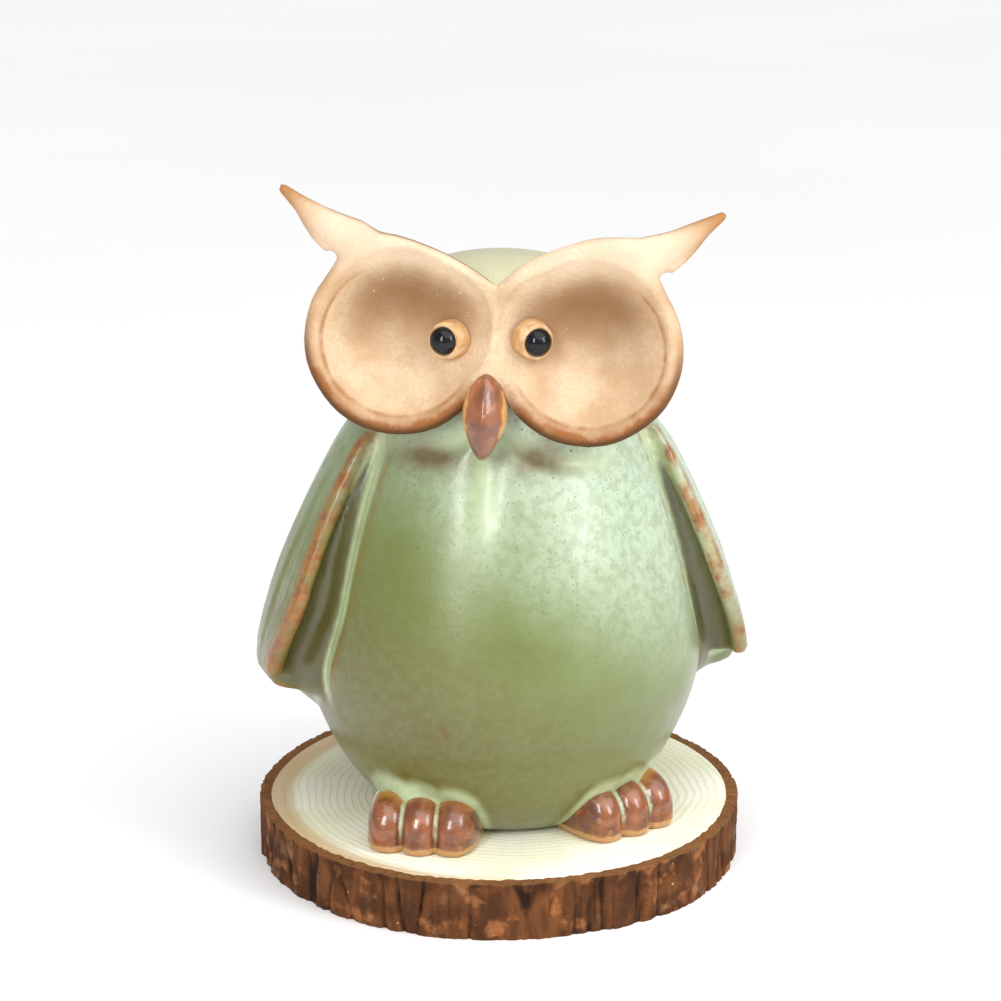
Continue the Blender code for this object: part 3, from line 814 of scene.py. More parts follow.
feet = {}
for word, places in toe_places.items():
    toes = []
    for place in places:
        toe = ball("toe", (1, 1, 1), Matrix.Identity(4), segments=72)
        points = points_of(toe)
        share = np.abs(points) ** TOE_SQUARENESS
        points /= (share.sum(axis=1) ** (1 / TOE_SQUARENESS))[:, None]
        move_points(toe, points * np.array(TOE_RADII))
        toe.matrix_world = place
        toes.append(settle(toe))
    foot = press_together(f"toes_{word}", toes, FOOT_GRAIN, FOOT_WIPES)
    pick(foot)
    bpy.ops.object.mode_set(mode="EDIT")
    bpy.ops.mesh.select_all(action="SELECT")
    bpy.ops.mesh.bisect(
        plane_co=(0, 0, sole + 0.3 * MM), plane_no=(0, 0, 1), clear_inner=True, use_fill=True
    )
    bpy.ops.object.mode_set(mode="OBJECT")
    points = points_of(foot)
    low = 1 - step(points[:, 2] - sole, 0, 1.6 * MM)
    middle = points[:, :2].mean(axis=0)
    points[:, :2] += (middle - points[:, :2]) * (0.045 * low)[:, None]
    points[:, 2] -= 0.3 * MM * (1 - step(points[:, 2] - sole, 0.3 * MM, 3 * MM))
    points[:, 2] = np.maximum(points[:, 2], sole)
    move_points(foot, points)
    write_mask(foot, "groove", step(-bulge_of(foot, 4), 0.08, 0.5))
    write_mask(foot, "ridge", step(bulge_of(foot, 6), 0.2, 0.5))
    write_mask(foot, "above_sole", (points[:, 2] - sole) / MM)
    behind = np.min([in_frame(points, place)[:, 1] for place in places], axis=0)
    write_mask(foot, "behind", behind / MM)
    feet[word] = foot
print("feet:", [len(foot.data.polygons) for foot in feet.values()], "faces")

# %% [markdown]
# ## Log slice
#
# A limb sawn across and sanded: pale sapwood inside its bark. Neither is truly round, so both
# take the same slow wander in their outline. The bark is a ring of its own, deeply fissured up
# and down, so its outer wall is divided finely and pushed in and out.

# %% Outline of the log
BARK_THICKNESS = 2.9 * MM

slice_centre = (bark_low + bark_high) / 2
half_width = (bark_high.x - bark_low.x) / 2
half_depth = (bark_high.y - bark_low.y) / 2


def wander(angle):
    """How far the log's outline strays inwards at an angle, in metres."""
    around = Vector((math.cos(angle), math.sin(angle), 0.4))
    return 0.7 * MM * min(0, noise.noise(around * 1.6) - 0.5)


def log_disc(name, inset, steps):
    """A disc on the slice's underside that follows the outline, inset all round."""
    bpy.ops.object.select_all(action="DESELECT")
    bpy.ops.mesh.primitive_circle_add(
        vertices=steps, radius=1, fill_type="NGON", location=(slice_centre.x, slice_centre.y, 0)
    )
    obj = settle(new_piece(name))
    points = points_of(obj)
    across = points[:, :2] - np.array(slice_centre)[:2]
    angles = np.arctan2(across[:, 1], across[:, 0])
    stray = np.array([wander(angle) for angle in angles]) - inset
    points[:, 0] = slice_centre.x + np.cos(angles) * (half_width + stray)
    points[:, 1] = slice_centre.y + np.sin(angles) * (half_depth + stray)
    move_points(obj, points)
    return obj


# %% Sapwood
log_wood = log_disc("sapwood_disc", BARK_THICKNESS, 256)
bpy.ops.object.mode_set(mode="EDIT")
bpy.ops.mesh.select_all(action="SELECT")
bpy.ops.mesh.extrude_region_move(TRANSFORM_OT_translate={"value": (0, 0, slice_top)})
bpy.ops.mesh.select_all(action="SELECT")
bpy.ops.mesh.normals_make_consistent(inside=False)
bpy.ops.object.mode_set(mode="OBJECT")
edge = log_wood.modifiers.new("sanded edge", "BEVEL")
edge.width = 0.5 * MM
edge.segments = 3
edge.limit_method = "ANGLE"
edge.angle_limit = math.radians(60)
apply_all(log_wood)
bpy.ops.object.shade_smooth_by_angle(angle=math.radians(35))
print("sapwood:", len(log_wood.data.polygons), "faces")

# %% Bark
BARK_STEPS = 880
BARK_LEVELS = 20

bark = log_disc("bark", 0, BARK_STEPS)
bpy.ops.object.mode_set(mode="EDIT")
bpy.ops.mesh.select_all(action="SELECT")
bpy.ops.mesh.inset(thickness=BARK_THICKNESS + 0.1 * MM, depth=0)
bpy.ops.mesh.delete(type="FACE")
bpy.ops.object.mode_set(mode="OBJECT")
wall = bark.modifiers.new("sawn through", "SOLIDIFY")
wall.thickness = slice_top
wall.offset = 1
apply_all(bark)
bpy.ops.object.mode_set(mode="EDIT")
bpy.ops.mesh.select_all(action="SELECT")
bpy.ops.mesh.normals_make_consistent(inside=False)
for level in range(1, BARK_LEVELS):
    bpy.ops.mesh.select_all(action="SELECT")
    bpy.ops.mesh.bisect(plane_co=(0, 0, slice_top * level / BARK_LEVELS), plane_no=(0, 0, 1))
bpy.ops.object.mode_set(mode="OBJECT")
print("bark ring before carving:", len(bark.data.polygons), "faces")

# %% [markdown]
# Bark splits up and down as the limb grows under it, so its fissures are noise stretched six times
# upright: where the noise crosses 0, a fissure is cut. Between them, plates flake off in steps.
# Every cut goes inwards, so the ring keeps the slice's size.

# %% Carve the bark
points = points_of(bark)
across = points[:, :2] - np.array(slice_centre)[:2]
reach = np.hypot(across[:, 0], across[:, 1])
outward = across / reach[:, None]
level = points[:, 2].copy()
upright = points * np.array([1, 1, 1 / 6])
wide_split = np.exp(-((wavy(upright, 7 * MM, 31) / 0.10) ** 2))
fine_split = np.exp(-((wavy(upright, 2.4 * MM, 37) / 0.16) ** 2))
plates = wavy(points * np.array([1, 1, 0.4]), 5 * MM, 41)
flakes = np.floor(plates * 4) / 4 + 0.25
rough = wavy(points * np.array([1, 1, 0.6]), 1.3 * MM, 43)
deep = 0.85 * wide_split + 0.32 * fine_split + 0.5 * np.clip(-flakes, 0, 1) + 0.15 * (rough + 0.6)
outer = step(reach, half_width - 1.9 * MM, half_width - 1.4 * MM)
depth = np.clip(deep, 0, 2.2) * outer * (1 - 0.6 * step(level, slice_top - 2.5 * MM, slice_top))
points[:, :2] -= outward * (depth * MM)[:, None]
crumbs = 0.35 * MM * (wavy(points, 1.7 * MM, 47) + 0.5)
at_top = step(level, slice_top - 0.2 * MM, slice_top)
points[:, 2] -= np.clip(crumbs, 0, 1) * at_top
points[:, 2] = np.maximum(points[:, 2], 0)
move_points(bark, points)
write_mask(bark, "carved", np.clip(deep / 1.6, 0, 1) * outer)
pick(bark)
bpy.ops.object.shade_smooth_by_angle(angle=math.radians(50))
print("deepest fissure", round(depth.max(), 2), "mm")

# %% [markdown]
# ## Finishes
#
# A finish here is a node tree. These helpers keep each recipe short: they add a node, set its
# sockets by name and join it up. Colours are given as a potter would match them, on a 0 to
# 255 scale, and are turned into the linear values that the shader works in.

# %% Helpers for node trees


def tint(red, green, blue):
    """A colour given on a 0 to 255 scale, as the linear colour a shader takes."""
    shares = [channel / 255 for channel in (red, green, blue)]
    linear = [s / 12.92 if s <= 0.04045 else ((s + 0.055) / 1.055) ** 2.4 for s in shares]
    return (*linear, 1)


class Bench:
    """A node tree, with short ways to add nodes and join them."""

    def __init__(self, tree):
        self.tree = tree

    def feed(self, socket, value):
        """Joins an output to the socket, or sets the socket's own value."""
        if isinstance(value, bpy.types.NodeSocket):
            self.tree.links.new(value, socket)
        else:
            socket.default_value = value

    def add(self, kind, feeds=(), **settings):
        """A new node, with its settings and what feeds its sockets."""
        node = self.tree.nodes.new(kind)
        for key, value in settings.items():
            setattr(node, key, value)
        for key, value in dict(feeds).items():
            self.feed(node.inputs[key], value)
        return node

    def math(self, operation, first, second=0.0, clamp=False):
        node = self.add("ShaderNodeMath", {0: first, 1: second}, operation=operation)
        node.use_clamp = clamp
        return node.outputs[0]

    def times(self, first, second, clamp=False):
        return self.math("MULTIPLY", first, second, clamp)

    def plus(self, first, second, clamp=False):
        return self.math("ADD", first, second, clamp)

    def ramp(self, value, start, end, low=0.0, high=1.0):
        """The value eased from low at start to high at end."""
        feeds = {"Value": value, "From Min": start, "From Max": end, "To Min": low, "To Max": high}
        node = self.add("ShaderNodeMapRange", feeds, interpolation_type="SMOOTHSTEP")
        return node.outputs["Result"]

    def mix(self, share, first, second, blend="MIX"):
        """The first colour where the share is 0, and the second where it is 1."""
        node = self.add("ShaderNodeMix", data_type="RGBA", blend_type=blend)
        self.feed(node.inputs["Factor"], share)
        self.feed(node.inputs[6], first)
        self.feed(node.inputs[7], second)
        return node.outputs[2]

    def over(self, colour, mask, strength, *shade):
        """The colour with a shade laid over it, as far as the mask times the strength says."""
        return self.mix(self.times(mask, strength), colour, tint(*shade))

    def mask(self, name):
        """A mask stored on the piece's points."""
        return self.add("ShaderNodeAttribute", attribute_name=name).outputs["Fac"]

    def place(self):
        """Where a point is, in metres."""
        return self.add("ShaderNodeTexCoord").outputs["Object"]

    def axis(self, letter):
        return self.add("ShaderNodeSeparateXYZ", {0: self.place()}).outputs[letter]

    def group(self, tree, **feeds):
        """One of the shared groups, with its own values."""
        node = self.add("ShaderNodeGroup", node_tree=tree)
        for key, value in feeds.items():
            self.feed(node.inputs[key], value)
        return node.outputs[0]


def new_group(name, inputs, output, output_kind="NodeSocketFloat"):
    """An empty node group with named inputs and one output. Returns it, its bench and its ends."""
    tree = bpy.data.node_groups.new(name, "ShaderNodeTree")
    for key, value in inputs.items():
        socket = tree.interface.new_socket(key, in_out="INPUT", socket_type="NodeSocketFloat")
        socket.default_value = value
    tree.interface.new_socket(output, in_out="OUTPUT", socket_type=output_kind)
    bench = Bench(tree)
    source = bench.add("NodeGroupInput")
    sink = bench.add("NodeGroupOutput")
    return tree, bench, source.outputs, sink.inputs[0]


# %% [markdown]
# Two effects turn up in every finish here. *Drift* is slow, cloudy unevenness, as in a glaze that
# was poured thicker here than there. *Specks* are small dots scattered at random, such as iron
# spots, pinholes and grit: space is split into cells, and some of the cells get a dot.

# %% Shared groups: drift and specks
drift, bench, source, sink = new_group(
    "Drift", {"Size": 0.01, "Detail": 2.0, "Seed": 0.0, "Low": 0.35, "High": 0.65}, "Mask"
)
scaled = bench.add(
    "ShaderNodeVectorMath",
    {0: bench.place(), "Scale": bench.math("DIVIDE", 1.0, source["Size"])},
    operation="SCALE",
)
clouds = bench.add(
    "ShaderNodeTexNoise",
    {"Vector": scaled.outputs[0], "W": source["Seed"], "Scale": 1.0, "Detail": source["Detail"]},
    noise_dimensions="4D",
)
bench.feed(sink, bench.ramp(clouds.outputs[0], source["Low"], source["High"]))

specks, bench, source, sink = new_group(
    "Specks", {"Spacing": 0.002, "Share": 0.5, "Radius": 0.25, "Seed": 0.0}, "Mask"
)
scaled = bench.add(
    "ShaderNodeVectorMath",
    {0: bench.place(), "Scale": bench.math("DIVIDE", 1.0, source["Spacing"])},
    operation="SCALE",
)
cells = bench.add(
    "ShaderNodeTexVoronoi",
    {"Vector": scaled.outputs[0], "W": source["Seed"], "Scale": 1.0},
    voronoi_dimensions="4D",
)
chosen = bench.add("ShaderNodeSeparateColor", {0: cells.outputs["Color"]}).outputs[0]
picked = bench.math("LESS_THAN", chosen, source["Share"])
dot_edge = bench.times(source["Radius"], 0.6)
inside = bench.ramp(cells.outputs["Distance"], dot_edge, source["Radius"], 1.0, 0.0)
bench.feed(sink, bench.times(inside, picked))
print("groups:", drift.name, specks.name)

# %% A finish's start and end


def new_finish(name, roughness, coat=0.0, coat_roughness=0.1, ior=1.5, specular=0.5):
    """A material with its Principled BSDF, whose even values are set on its own sockets."""
    material = bpy.data.materials.new(name)
    material.use_nodes = True
    shader = material.node_tree.nodes["Principled BSDF"]
    shader.inputs["Roughness"].default_value = roughness
    shader.inputs["Coat Weight"].default_value = coat
    shader.inputs["Coat Roughness"].default_value = coat_roughness
    shader.inputs["IOR"].default_value = ior
    shader.inputs["Specular IOR Level"].default_value = specular
    return material, Bench(material.node_tree), shader


def raise_by(bench, shader, *layers):
    """Bumps the surface by layers of (height mask, millimetres), one over another."""
    normal = None
    for height, distance in layers:
        feeds = {"Height": height, "Distance": distance * MM, "Strength": 1.0}
        if normal is not None:
            feeds["Normal"] = normal
        normal = bench.add("ShaderNodeBump", feeds).outputs[0]
    bench.feed(shader.inputs["Normal"], normal)


def finish(obj, material, slot, body, *nodes):
    """Gives a piece its finish and its body, and hides the CAD pieces it stands for."""
    obj.data.materials.clear()
    obj.data.materials.append(material)
    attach(obj, body)
    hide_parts(*nodes)


# %% [markdown]
# ### Green glaze
#
# A celadon that runs from olive low down, where it is thick, to a pale mint near the shoulder. That
# run, and a paler side toward the owl's left, are partly the glaze and partly painted light, from
# above and from the owl's left. It is peppered with tiny darker specks, breaks to copper brown
# where the clay bulges, and pools pale in every crease. The wings' front faces are painted darker
# as shade, and the crown gets a painted highlight. Under the face it has pinholed, where air left
# the slip. The masks pressed into the body's points say where each of those happens, and noise
# makes their edges uneven.

# %% Green glaze
green_glaze, bench, shader = new_finish("green_glaze", 0.4, 0.55, 0.3, 1.52)
# The mint grows up the body, partly as the glaze thins and partly as painted light from above, and
# toward the owl's left, partly as painted light from that side.
up = bench.ramp(bench.axis("Z"), sole + 14 * MM, sole + 98 * MM)
toward_lit_side = bench.ramp(bench.axis("X"), -0.9 * belly_radius, 0.95 * belly_radius)
cloud = bench.group(drift, Size=18 * MM, Detail=3.0, Seed=1.0, Low=0.25, High=0.75)
lit_side_mint = bench.times(toward_lit_side, 0.42)
mint_and_lit_share = bench.plus(bench.times(up, 0.6), lit_side_mint)
mint_and_lit_share = bench.plus(mint_and_lit_share, bench.times(cloud, 0.1), clamp=True)
colour = bench.mix(bench.ramp(mint_and_lit_share, 0.1, 0.62), tint(98, 92, 26), tint(108, 120, 58))
colour = bench.mix(bench.ramp(mint_and_lit_share, 0.46, 1.0), colour, tint(188, 206, 180))
mottle = bench.group(drift, Size=2.2 * MM, Detail=4.0, Seed=2.0, Low=0.4, High=0.62)
colour = bench.over(colour, mottle, 0.32, 112, 124, 74)
fine = bench.group(specks, Spacing=0.75 * MM, Share=0.55, Radius=0.42, Seed=3.0)
colour = bench.over(colour, fine, 0.45, 86, 102, 58)
iron = bench.group(specks, Spacing=2.6 * MM, Share=0.2, Radius=0.11, Seed=4.0)
colour = bench.over(colour, iron, 0.75, 70, 58, 28)

# Painted highlight: the top of the head is lightened toward cream.
lit_crown = bench.ramp(bench.axis("Z"), head_high.z - 13 * MM, head_high.z - 3 * MM)
colour = bench.over(colour, lit_crown, 0.8, 214, 208, 168)

ragged = bench.group(drift, Size=5 * MM, Detail=4.0, Seed=5.0, Low=0.3, High=0.7)
# Painted shade: the wings' front faces, turned away from the light, are darkened.
wing_face_shade = bench.times(bench.mask("wing_face"), 0.9)
colour = bench.mix(wing_face_shade, colour, tint(78, 72, 28))
crease_side = bench.mask("crease_side")
pale_line = bench.times(
    bench.ramp(crease_side, -4.6, -2.6), bench.ramp(crease_side, 1.2, -0.2)
)
pale_line = bench.times(pale_line, bench.mask("beside_wing"))
off_wing = bench.math("SUBTRACT", 1.0, bench.mask("wing_face"))
pooled = bench.math("MAXIMUM", bench.times(bench.mask("pool"), off_wing), pale_line)
stroke_edge = bench.times(bench.mask("stroke"), 0.8)
pooled = bench.math("MAXIMUM", pooled, stroke_edge)
from_toes = bench.mask("from_toes")
toe_pool = bench.ramp(from_toes, 1.55, 1.15)
toe_pool = bench.times(toe_pool, bench.ramp(from_toes, 0.9, 1.0))
pooled = bench.math("MAXIMUM", pooled, toe_pool)
patchy = bench.plus(bench.times(ragged, 0.35), 0.6)
pooled = bench.times(pooled, patchy)
colour = bench.mix(pooled, colour, tint(194, 210, 164))

brown_line = bench.times(
    bench.ramp(crease_side, -6.6, -5.5), bench.ramp(crease_side, -4.4, -5.4)
)
brown_line = bench.times(brown_line, bench.times(ragged, 0.6))
brown_line = bench.times(brown_line, bench.mask("beside_wing"))
thin = bench.times(bench.mask("thin"), bench.plus(ragged, 0.15), clamp=True)
thin = bench.times(thin, off_wing)
wiped = bench.times(bench.mask("wing_edge"), bench.plus(ragged, 0.5), clamp=True)
copper = bench.math("MAXIMUM", bench.math("MAXIMUM", thin, wiped), brown_line)
colour = bench.over(colour, copper, 0.92, 158, 102, 46)
rust = bench.group(drift, Size=2.5 * MM, Detail=3.0, Seed=6.0, Low=0.45, High=0.6)
rust = bench.times(rust, bench.times(copper, 0.55))
colour = bench.mix(rust, colour, tint(112, 62, 26))

chin = bench.times(ragged, 0.5)
chin = bench.times(bench.mask("chin"), bench.plus(chin, 0.8), clamp=True)
colour = bench.over(colour, chin, 0.85, 108, 82, 48)
drip = bench.times(bench.mask("drip"), bench.plus(ragged, 0.2), clamp=True)
colour = bench.over(colour, drip, 0.85, 112, 66, 36)

pins = bench.group(specks, Spacing=1.1 * MM, Share=0.6, Radius=0.3, Seed=7.0)
pins = bench.times(pins, bench.mask("pin_line"))
colour = bench.over(colour, pins, 0.85, 52, 56, 24)
bench.feed(shader.inputs["Base Color"], colour)
gloss = bench.group(drift, Size=7 * MM, Detail=2.0, Seed=8.0)
bench.feed(shader.inputs["Roughness"], bench.ramp(gloss, 0.0, 1.0, 0.34, 0.46))
coat = bench.math("SUBTRACT", 0.6, bench.times(copper, 0.3))
bench.feed(shader.inputs["Coat Weight"], coat)
skin = bench.group(drift, Size=1.1 * MM, Detail=2.0, Seed=9.0, Low=0.2, High=0.8)
pits = bench.math("SUBTRACT", 1.0, bench.math("MAXIMUM", iron, pins))
raise_by(bench, shader, (skin, 0.05), (pits, 0.12))
owl_skin = ("body_shell", "head_cap", "wing_left", "wing_right")
finish(glazed_body, green_glaze, "green_glaze", "owl", *owl_skin)
print(green_glaze.name, len(green_glaze.node_tree.nodes), "nodes")

# %% [markdown]
# ### Bare clay
#
# The face was left unglazed. Bare stoneware is dry and sandy: it shows grit, some of it pale and
# sparkling and some dark, and small pits where grit was dragged out. The flame has flashed it
# orange along the lower rims, and a little glaze has stained the scored lines. Painted shade
# darkens the tops of the dishes and the undersides of the lower rims, and a painted highlight
# lightens the top of the brow.

# %% Bare clay for the face
bare_clay, bench, shader = new_finish("bare_clay", 0.72, ior=1.48, specular=0.35)
cloud = bench.group(drift, Size=11 * MM, Detail=4.0, Seed=11.0)
colour = bench.mix(cloud, tint(196, 162, 126), tint(220, 194, 162))
fine = bench.group(drift, Size=0.9 * MM, Detail=3.0, Seed=12.0, Low=0.35, High=0.65)
colour = bench.over(colour, fine, 0.3, 190, 154, 112)
deep_in = bench.ramp(bench.mask("into_head"), 1.2, 6.5)
up_face = bench.mask("up_face")
shaded_top = bench.times(deep_in, bench.ramp(up_face, -9.0, 12.0))
colour = bench.over(colour, shaded_top, 0.85, 122, 82, 40)
# Painted highlight: the top of the brow is lightened, as light from above.
brow_front = bench.ramp(bench.mask("into_head"), 5.0, 1.0)
brow = bench.times(bench.ramp(up_face, 12.0, 21.0), brow_front)
colour = bench.over(colour, brow, 0.5, 236, 216, 190)
from_rim = bench.mask("from_rim")
beside_beak = bench.ramp(bench.math("ABSOLUTE", bench.mask("across_face")), 2.0, 8.0)
low = bench.times(bench.ramp(up_face, 2.0, -15.0), beside_beak)
rim_edge = bench.ramp(from_rim, 4.6, 1.2)
under = bench.ramp(bench.mask("into_head"), 1.0, 4.5)
behind_rim = bench.times(under, bench.ramp(from_rim, 1.5, -0.5))
flashed = bench.times(bench.math("MAXIMUM", rim_edge, behind_rim), low)
ragged = bench.group(drift, Size=4 * MM, Detail=4.0, Seed=13.0, Low=0.3, High=0.7)
flashed = bench.times(flashed, bench.plus(ragged, 0.7), clamp=True)
colour = bench.over(colour, flashed, 0.95, 146, 88, 38)
# Painted shade: the lower rims' outer edges and the slab's side below them are darkened.
outside = bench.math("MAXIMUM", behind_rim, bench.ramp(from_rim, 2.2, 0.5))
shaded_underside = bench.times(outside, bench.ramp(up_face, 8.0, -6.0))
shaded_underside = bench.times(shaded_underside, beside_beak)
colour = bench.over(colour, shaded_underside, 0.9, 82, 50, 18)
tips = bench.ramp(bench.math("ABSOLUTE", bench.mask("across_face")), 34.0, 56.0)
colour = bench.over(colour, tips, 0.75, 186, 124, 66)
scored = bench.times(bench.mask("scored"), bench.plus(ragged, 0.3), clamp=True)
colour = bench.over(colour, scored, 0.75, 158, 108, 62)
pale_grit = bench.group(specks, Spacing=1.7 * MM, Share=0.32, Radius=0.13, Seed=14.0)
colour = bench.over(colour, pale_grit, 0.7, 248, 238, 214)
dark_grit = bench.group(specks, Spacing=3.1 * MM, Share=0.25, Radius=0.09, Seed=15.0)
colour = bench.over(colour, dark_grit, 0.8, 104, 68, 36)
bench.feed(shader.inputs["Base Color"], colour)
bench.feed(shader.inputs["Roughness"], bench.ramp(pale_grit, 0.0, 1.0, 0.74, 0.4))
sand = bench.group(specks, Spacing=0.5 * MM, Share=0.7, Radius=0.5, Seed=16.0)
dents = bench.math("SUBTRACT", 1.0, dark_grit)
raise_by(bench, shader, (fine, 0.06), (sand, 0.035), (pale_grit, 0.1), (dents, 0.15))
finish(face, bare_clay, "buff_clay", "owl", "face_mask", "ear_tuft_left", "ear_tuft_right")
print(bare_clay.name, len(bare_clay.node_tree.nodes), "nodes")

# %% [markdown]
# ### Collar clay
#
# The same clay, handled more: damp fingers have closed its grain, and it is darker round its foot.
# It has no rim or brow, so it is a plainer recipe.

# %% Clay for the eye collars
collar_clay, bench, shader = new_finish("collar_clay", 0.6, ior=1.48, specular=0.4)
cloud = bench.group(drift, Size=2.5 * MM, Detail=3.0, Seed=21.0)
colour = bench.mix(cloud, tint(196, 152, 100), tint(224, 190, 144))
foot_share = bench.ramp(bench.mask("collar_height"), -1.2, -3.2)
colour = bench.over(colour, foot_share, 0.6, 176, 128, 76)
inside_share = bench.ramp(bench.mask("collar_height"), -0.2, 1.0)
colour = bench.over(colour, inside_share, 0.35, 150, 100, 52)
grit = bench.group(specks, Spacing=0.9 * MM, Share=0.4, Radius=0.16, Seed=22.0)
colour = bench.over(colour, grit, 0.6, 246, 234, 206)
bench.feed(shader.inputs["Base Color"], colour)
bench.feed(shader.inputs["Roughness"], bench.ramp(cloud, 0.0, 1.0, 0.55, 0.68))
fine = bench.group(drift, Size=0.6 * MM, Detail=3.0, Seed=23.0, Low=0.3, High=0.7)
raise_by(bench, shader, (fine, 0.04), (grit, 0.06))
for word in ("left", "right"):
    collar = bpy.data.objects[f"collar_{word}"]
    finish(collar, collar_clay, "buff_clay", "owl", f"eye_collar_{word}")
print(collar_clay.name, len(collar_clay.node_tree.nodes), "nodes")

# %% [markdown]
# ### Black glass
#
# The beads are melted black glass: a mirror skin with faint swirls and a few dust motes in it.

# %% Black glass for the beads
black_glass, bench, shader = new_finish("black_glass", 0.06, 0.25, 0.03, 1.4, 0.3)
swirl = bench.group(drift, Size=1.8 * MM, Detail=2.0, Seed=31.0)
colour = bench.mix(swirl, tint(8, 9, 12), tint(26, 28, 34))
motes = bench.group(specks, Spacing=0.8 * MM, Share=0.12, Radius=0.1, Seed=32.0)
colour = bench.over(colour, motes, 0.5, 120, 118, 110)
bench.feed(shader.inputs["Base Color"], colour)
bench.feed(shader.inputs["Roughness"], bench.ramp(swirl, 0.0, 1.0, 0.05, 0.12))
ripple = bench.group(drift, Size=2.2 * MM, Detail=1.0, Seed=33.0, Low=0.2, High=0.8)
raise_by(bench, shader, (ripple, 0.02))
for word in ("left", "right"):
    bead = bpy.data.objects[f"bead_{word}"]
    finish(bead, black_glass, "black_glass", "owl", f"eye_bead_{word}")
print(black_glass.name, len(black_glass.node_tree.nodes), "nodes")

# %% [markdown]
# ### Brown glaze
#
# An iron glaze, glossy and mottled: rust and mauve drift into each other, with small ochre rings
# where bubbles burst and healed. Green glaze has run down into the grooves between the toes, and
# the sole is bare. The beak wears the same glaze on its front, with its flanks bare.


# %% Brown glaze recipe


def brown_glaze(name, light, dark, size):
    """The start of an iron glaze: its material, bench, shader and mottled colour."""
    material, bench, shader = new_finish(name, 0.3, 0.8, 0.1, 1.54)
    cloud = bench.group(drift, Size=size, Detail=4.0, Seed=41.0)
    colour = bench.mix(cloud, dark, light)
    mauve = bench.group(drift, Size=0.6 * size, Detail=3.0, Seed=42.0, Low=0.45, High=0.7)
    colour = bench.over(colour, mauve, 0.3, 138, 88, 68)
    ring_out = bench.group(specks, Spacing=2.6 * MM, Share=0.35, Radius=0.34, Seed=43.0)
    ring_in = bench.group(specks, Spacing=2.6 * MM, Share=0.35, Radius=0.24, Seed=43.0)
    ring = bench.math("SUBTRACT", ring_out, ring_in, clamp=True)
    colour = bench.over(colour, ring, 0.6, 206, 140, 78)
    fine = bench.group(specks, Spacing=0.6 * MM, Share=0.5, Radius=0.4, Seed=44.0)
    colour = bench.over(colour, fine, 0.3, 84, 44, 22)
    bench.feed(shader.inputs["Roughness"], bench.ramp(cloud, 0.0, 1.0, 0.38, 0.24))
    skin = bench.group(drift, Size=1.4 * MM, Detail=2.0, Seed=45.0, Low=0.2, High=0.8)
    raise_by(bench, shader, (skin, 0.06), (ring, 0.05))
    return material, bench, shader, colour


# %% Brown glaze for the toes
toe_glaze, bench, shader, colour = brown_glaze(
    "toe_glaze", tint(148, 82, 38), tint(94, 46, 18), 4 * MM
)
ridge = bench.times(bench.mask("ridge"), 0.35)
colour = bench.mix(ridge, colour, tint(172, 108, 60))
ragged = bench.group(drift, Size=1.6 * MM, Detail=3.0, Seed=46.0, Low=0.3, High=0.7)
above = bench.mask("above_sole")
in_groove = bench.times(bench.mask("groove"), bench.ramp(above, 2.0, 6.5))
in_groove = bench.times(in_groove, bench.plus(ragged, 0.5), clamp=True)
colour = bench.over(colour, in_groove, 0.85, 186, 198, 160)
height_with_drips = bench.plus(above, bench.times(ragged, 1.4))
behind = bench.mask("behind")
run_down = bench.ramp(height_with_drips, 10.6, 11.6)
run_down = bench.times(run_down, bench.ramp(behind, -5.5, -3.5))
ochre = bench.ramp(height_with_drips, 9.0, 10.4)
ochre = bench.times(ochre, bench.ramp(behind, -8.5, -5.5))
colour = bench.over(colour, ochre, 0.75, 190, 134, 52)
colour = bench.mix(run_down, colour, tint(178, 194, 146))
sole_line = bench.plus(above, bench.times(ragged, 0.5))
bare_sole = bench.ramp(sole_line, 2.2, 1.7)
colour = bench.mix(bare_sole, colour, tint(190, 142, 88))
bench.feed(shader.inputs["Base Color"], colour)
coat = bench.math("SUBTRACT", 0.8, bench.times(bare_sole, 0.8))
bench.feed(shader.inputs["Coat Weight"], coat)
for word, foot in feet.items():
    finish(foot, toe_glaze, "brown_glaze", "owl", f"foot_{word}")
print(toe_glaze.name, len(toe_glaze.node_tree.nodes), "nodes")

# %% Brown glaze for the beak
beak_glaze, bench, shader, colour = brown_glaze(
    "beak_glaze", tint(166, 102, 66), tint(112, 64, 36), 5 * MM
)
# Painted shade: the beak's lower tip is darkened.
shaded_tip = bench.ramp(bench.mask("along"), -0.35, -0.9)
colour = bench.over(colour, shaded_tip, 0.8, 112, 66, 30)
ragged = bench.group(drift, Size=2 * MM, Detail=3.0, Seed=48.0, Low=0.3, High=0.7)
to_flank = bench.plus(bench.mask("flank"), bench.times(ragged, 0.08))
line = bench.times(bench.ramp(to_flank, 0.68, 0.76), bench.ramp(to_flank, 0.88, 0.8))
bare_flank = bench.ramp(to_flank, 0.78, 0.83)
colour = bench.mix(bare_flank, colour, tint(206, 156, 96))
colour = bench.over(colour, line, 0.7, 150, 88, 44)
bench.feed(shader.inputs["Base Color"], colour)
coat = bench.math("SUBTRACT", 0.8, bench.times(bare_flank, 0.75))
bench.feed(shader.inputs["Coat Weight"], coat)
finish(beak, beak_glaze, "brown_glaze", "owl", "beak")
print(beak_glaze.name, len(beak_glaze.node_tree.nodes), "nodes")

# %% [markdown]
# ### Sapwood
#
# Sawn and sanded end grain: growth rings a couple of millimetres apart round a pith that isn't in
# the middle, fine rays from it, a few short checks, and a browner line where wood meets bark.

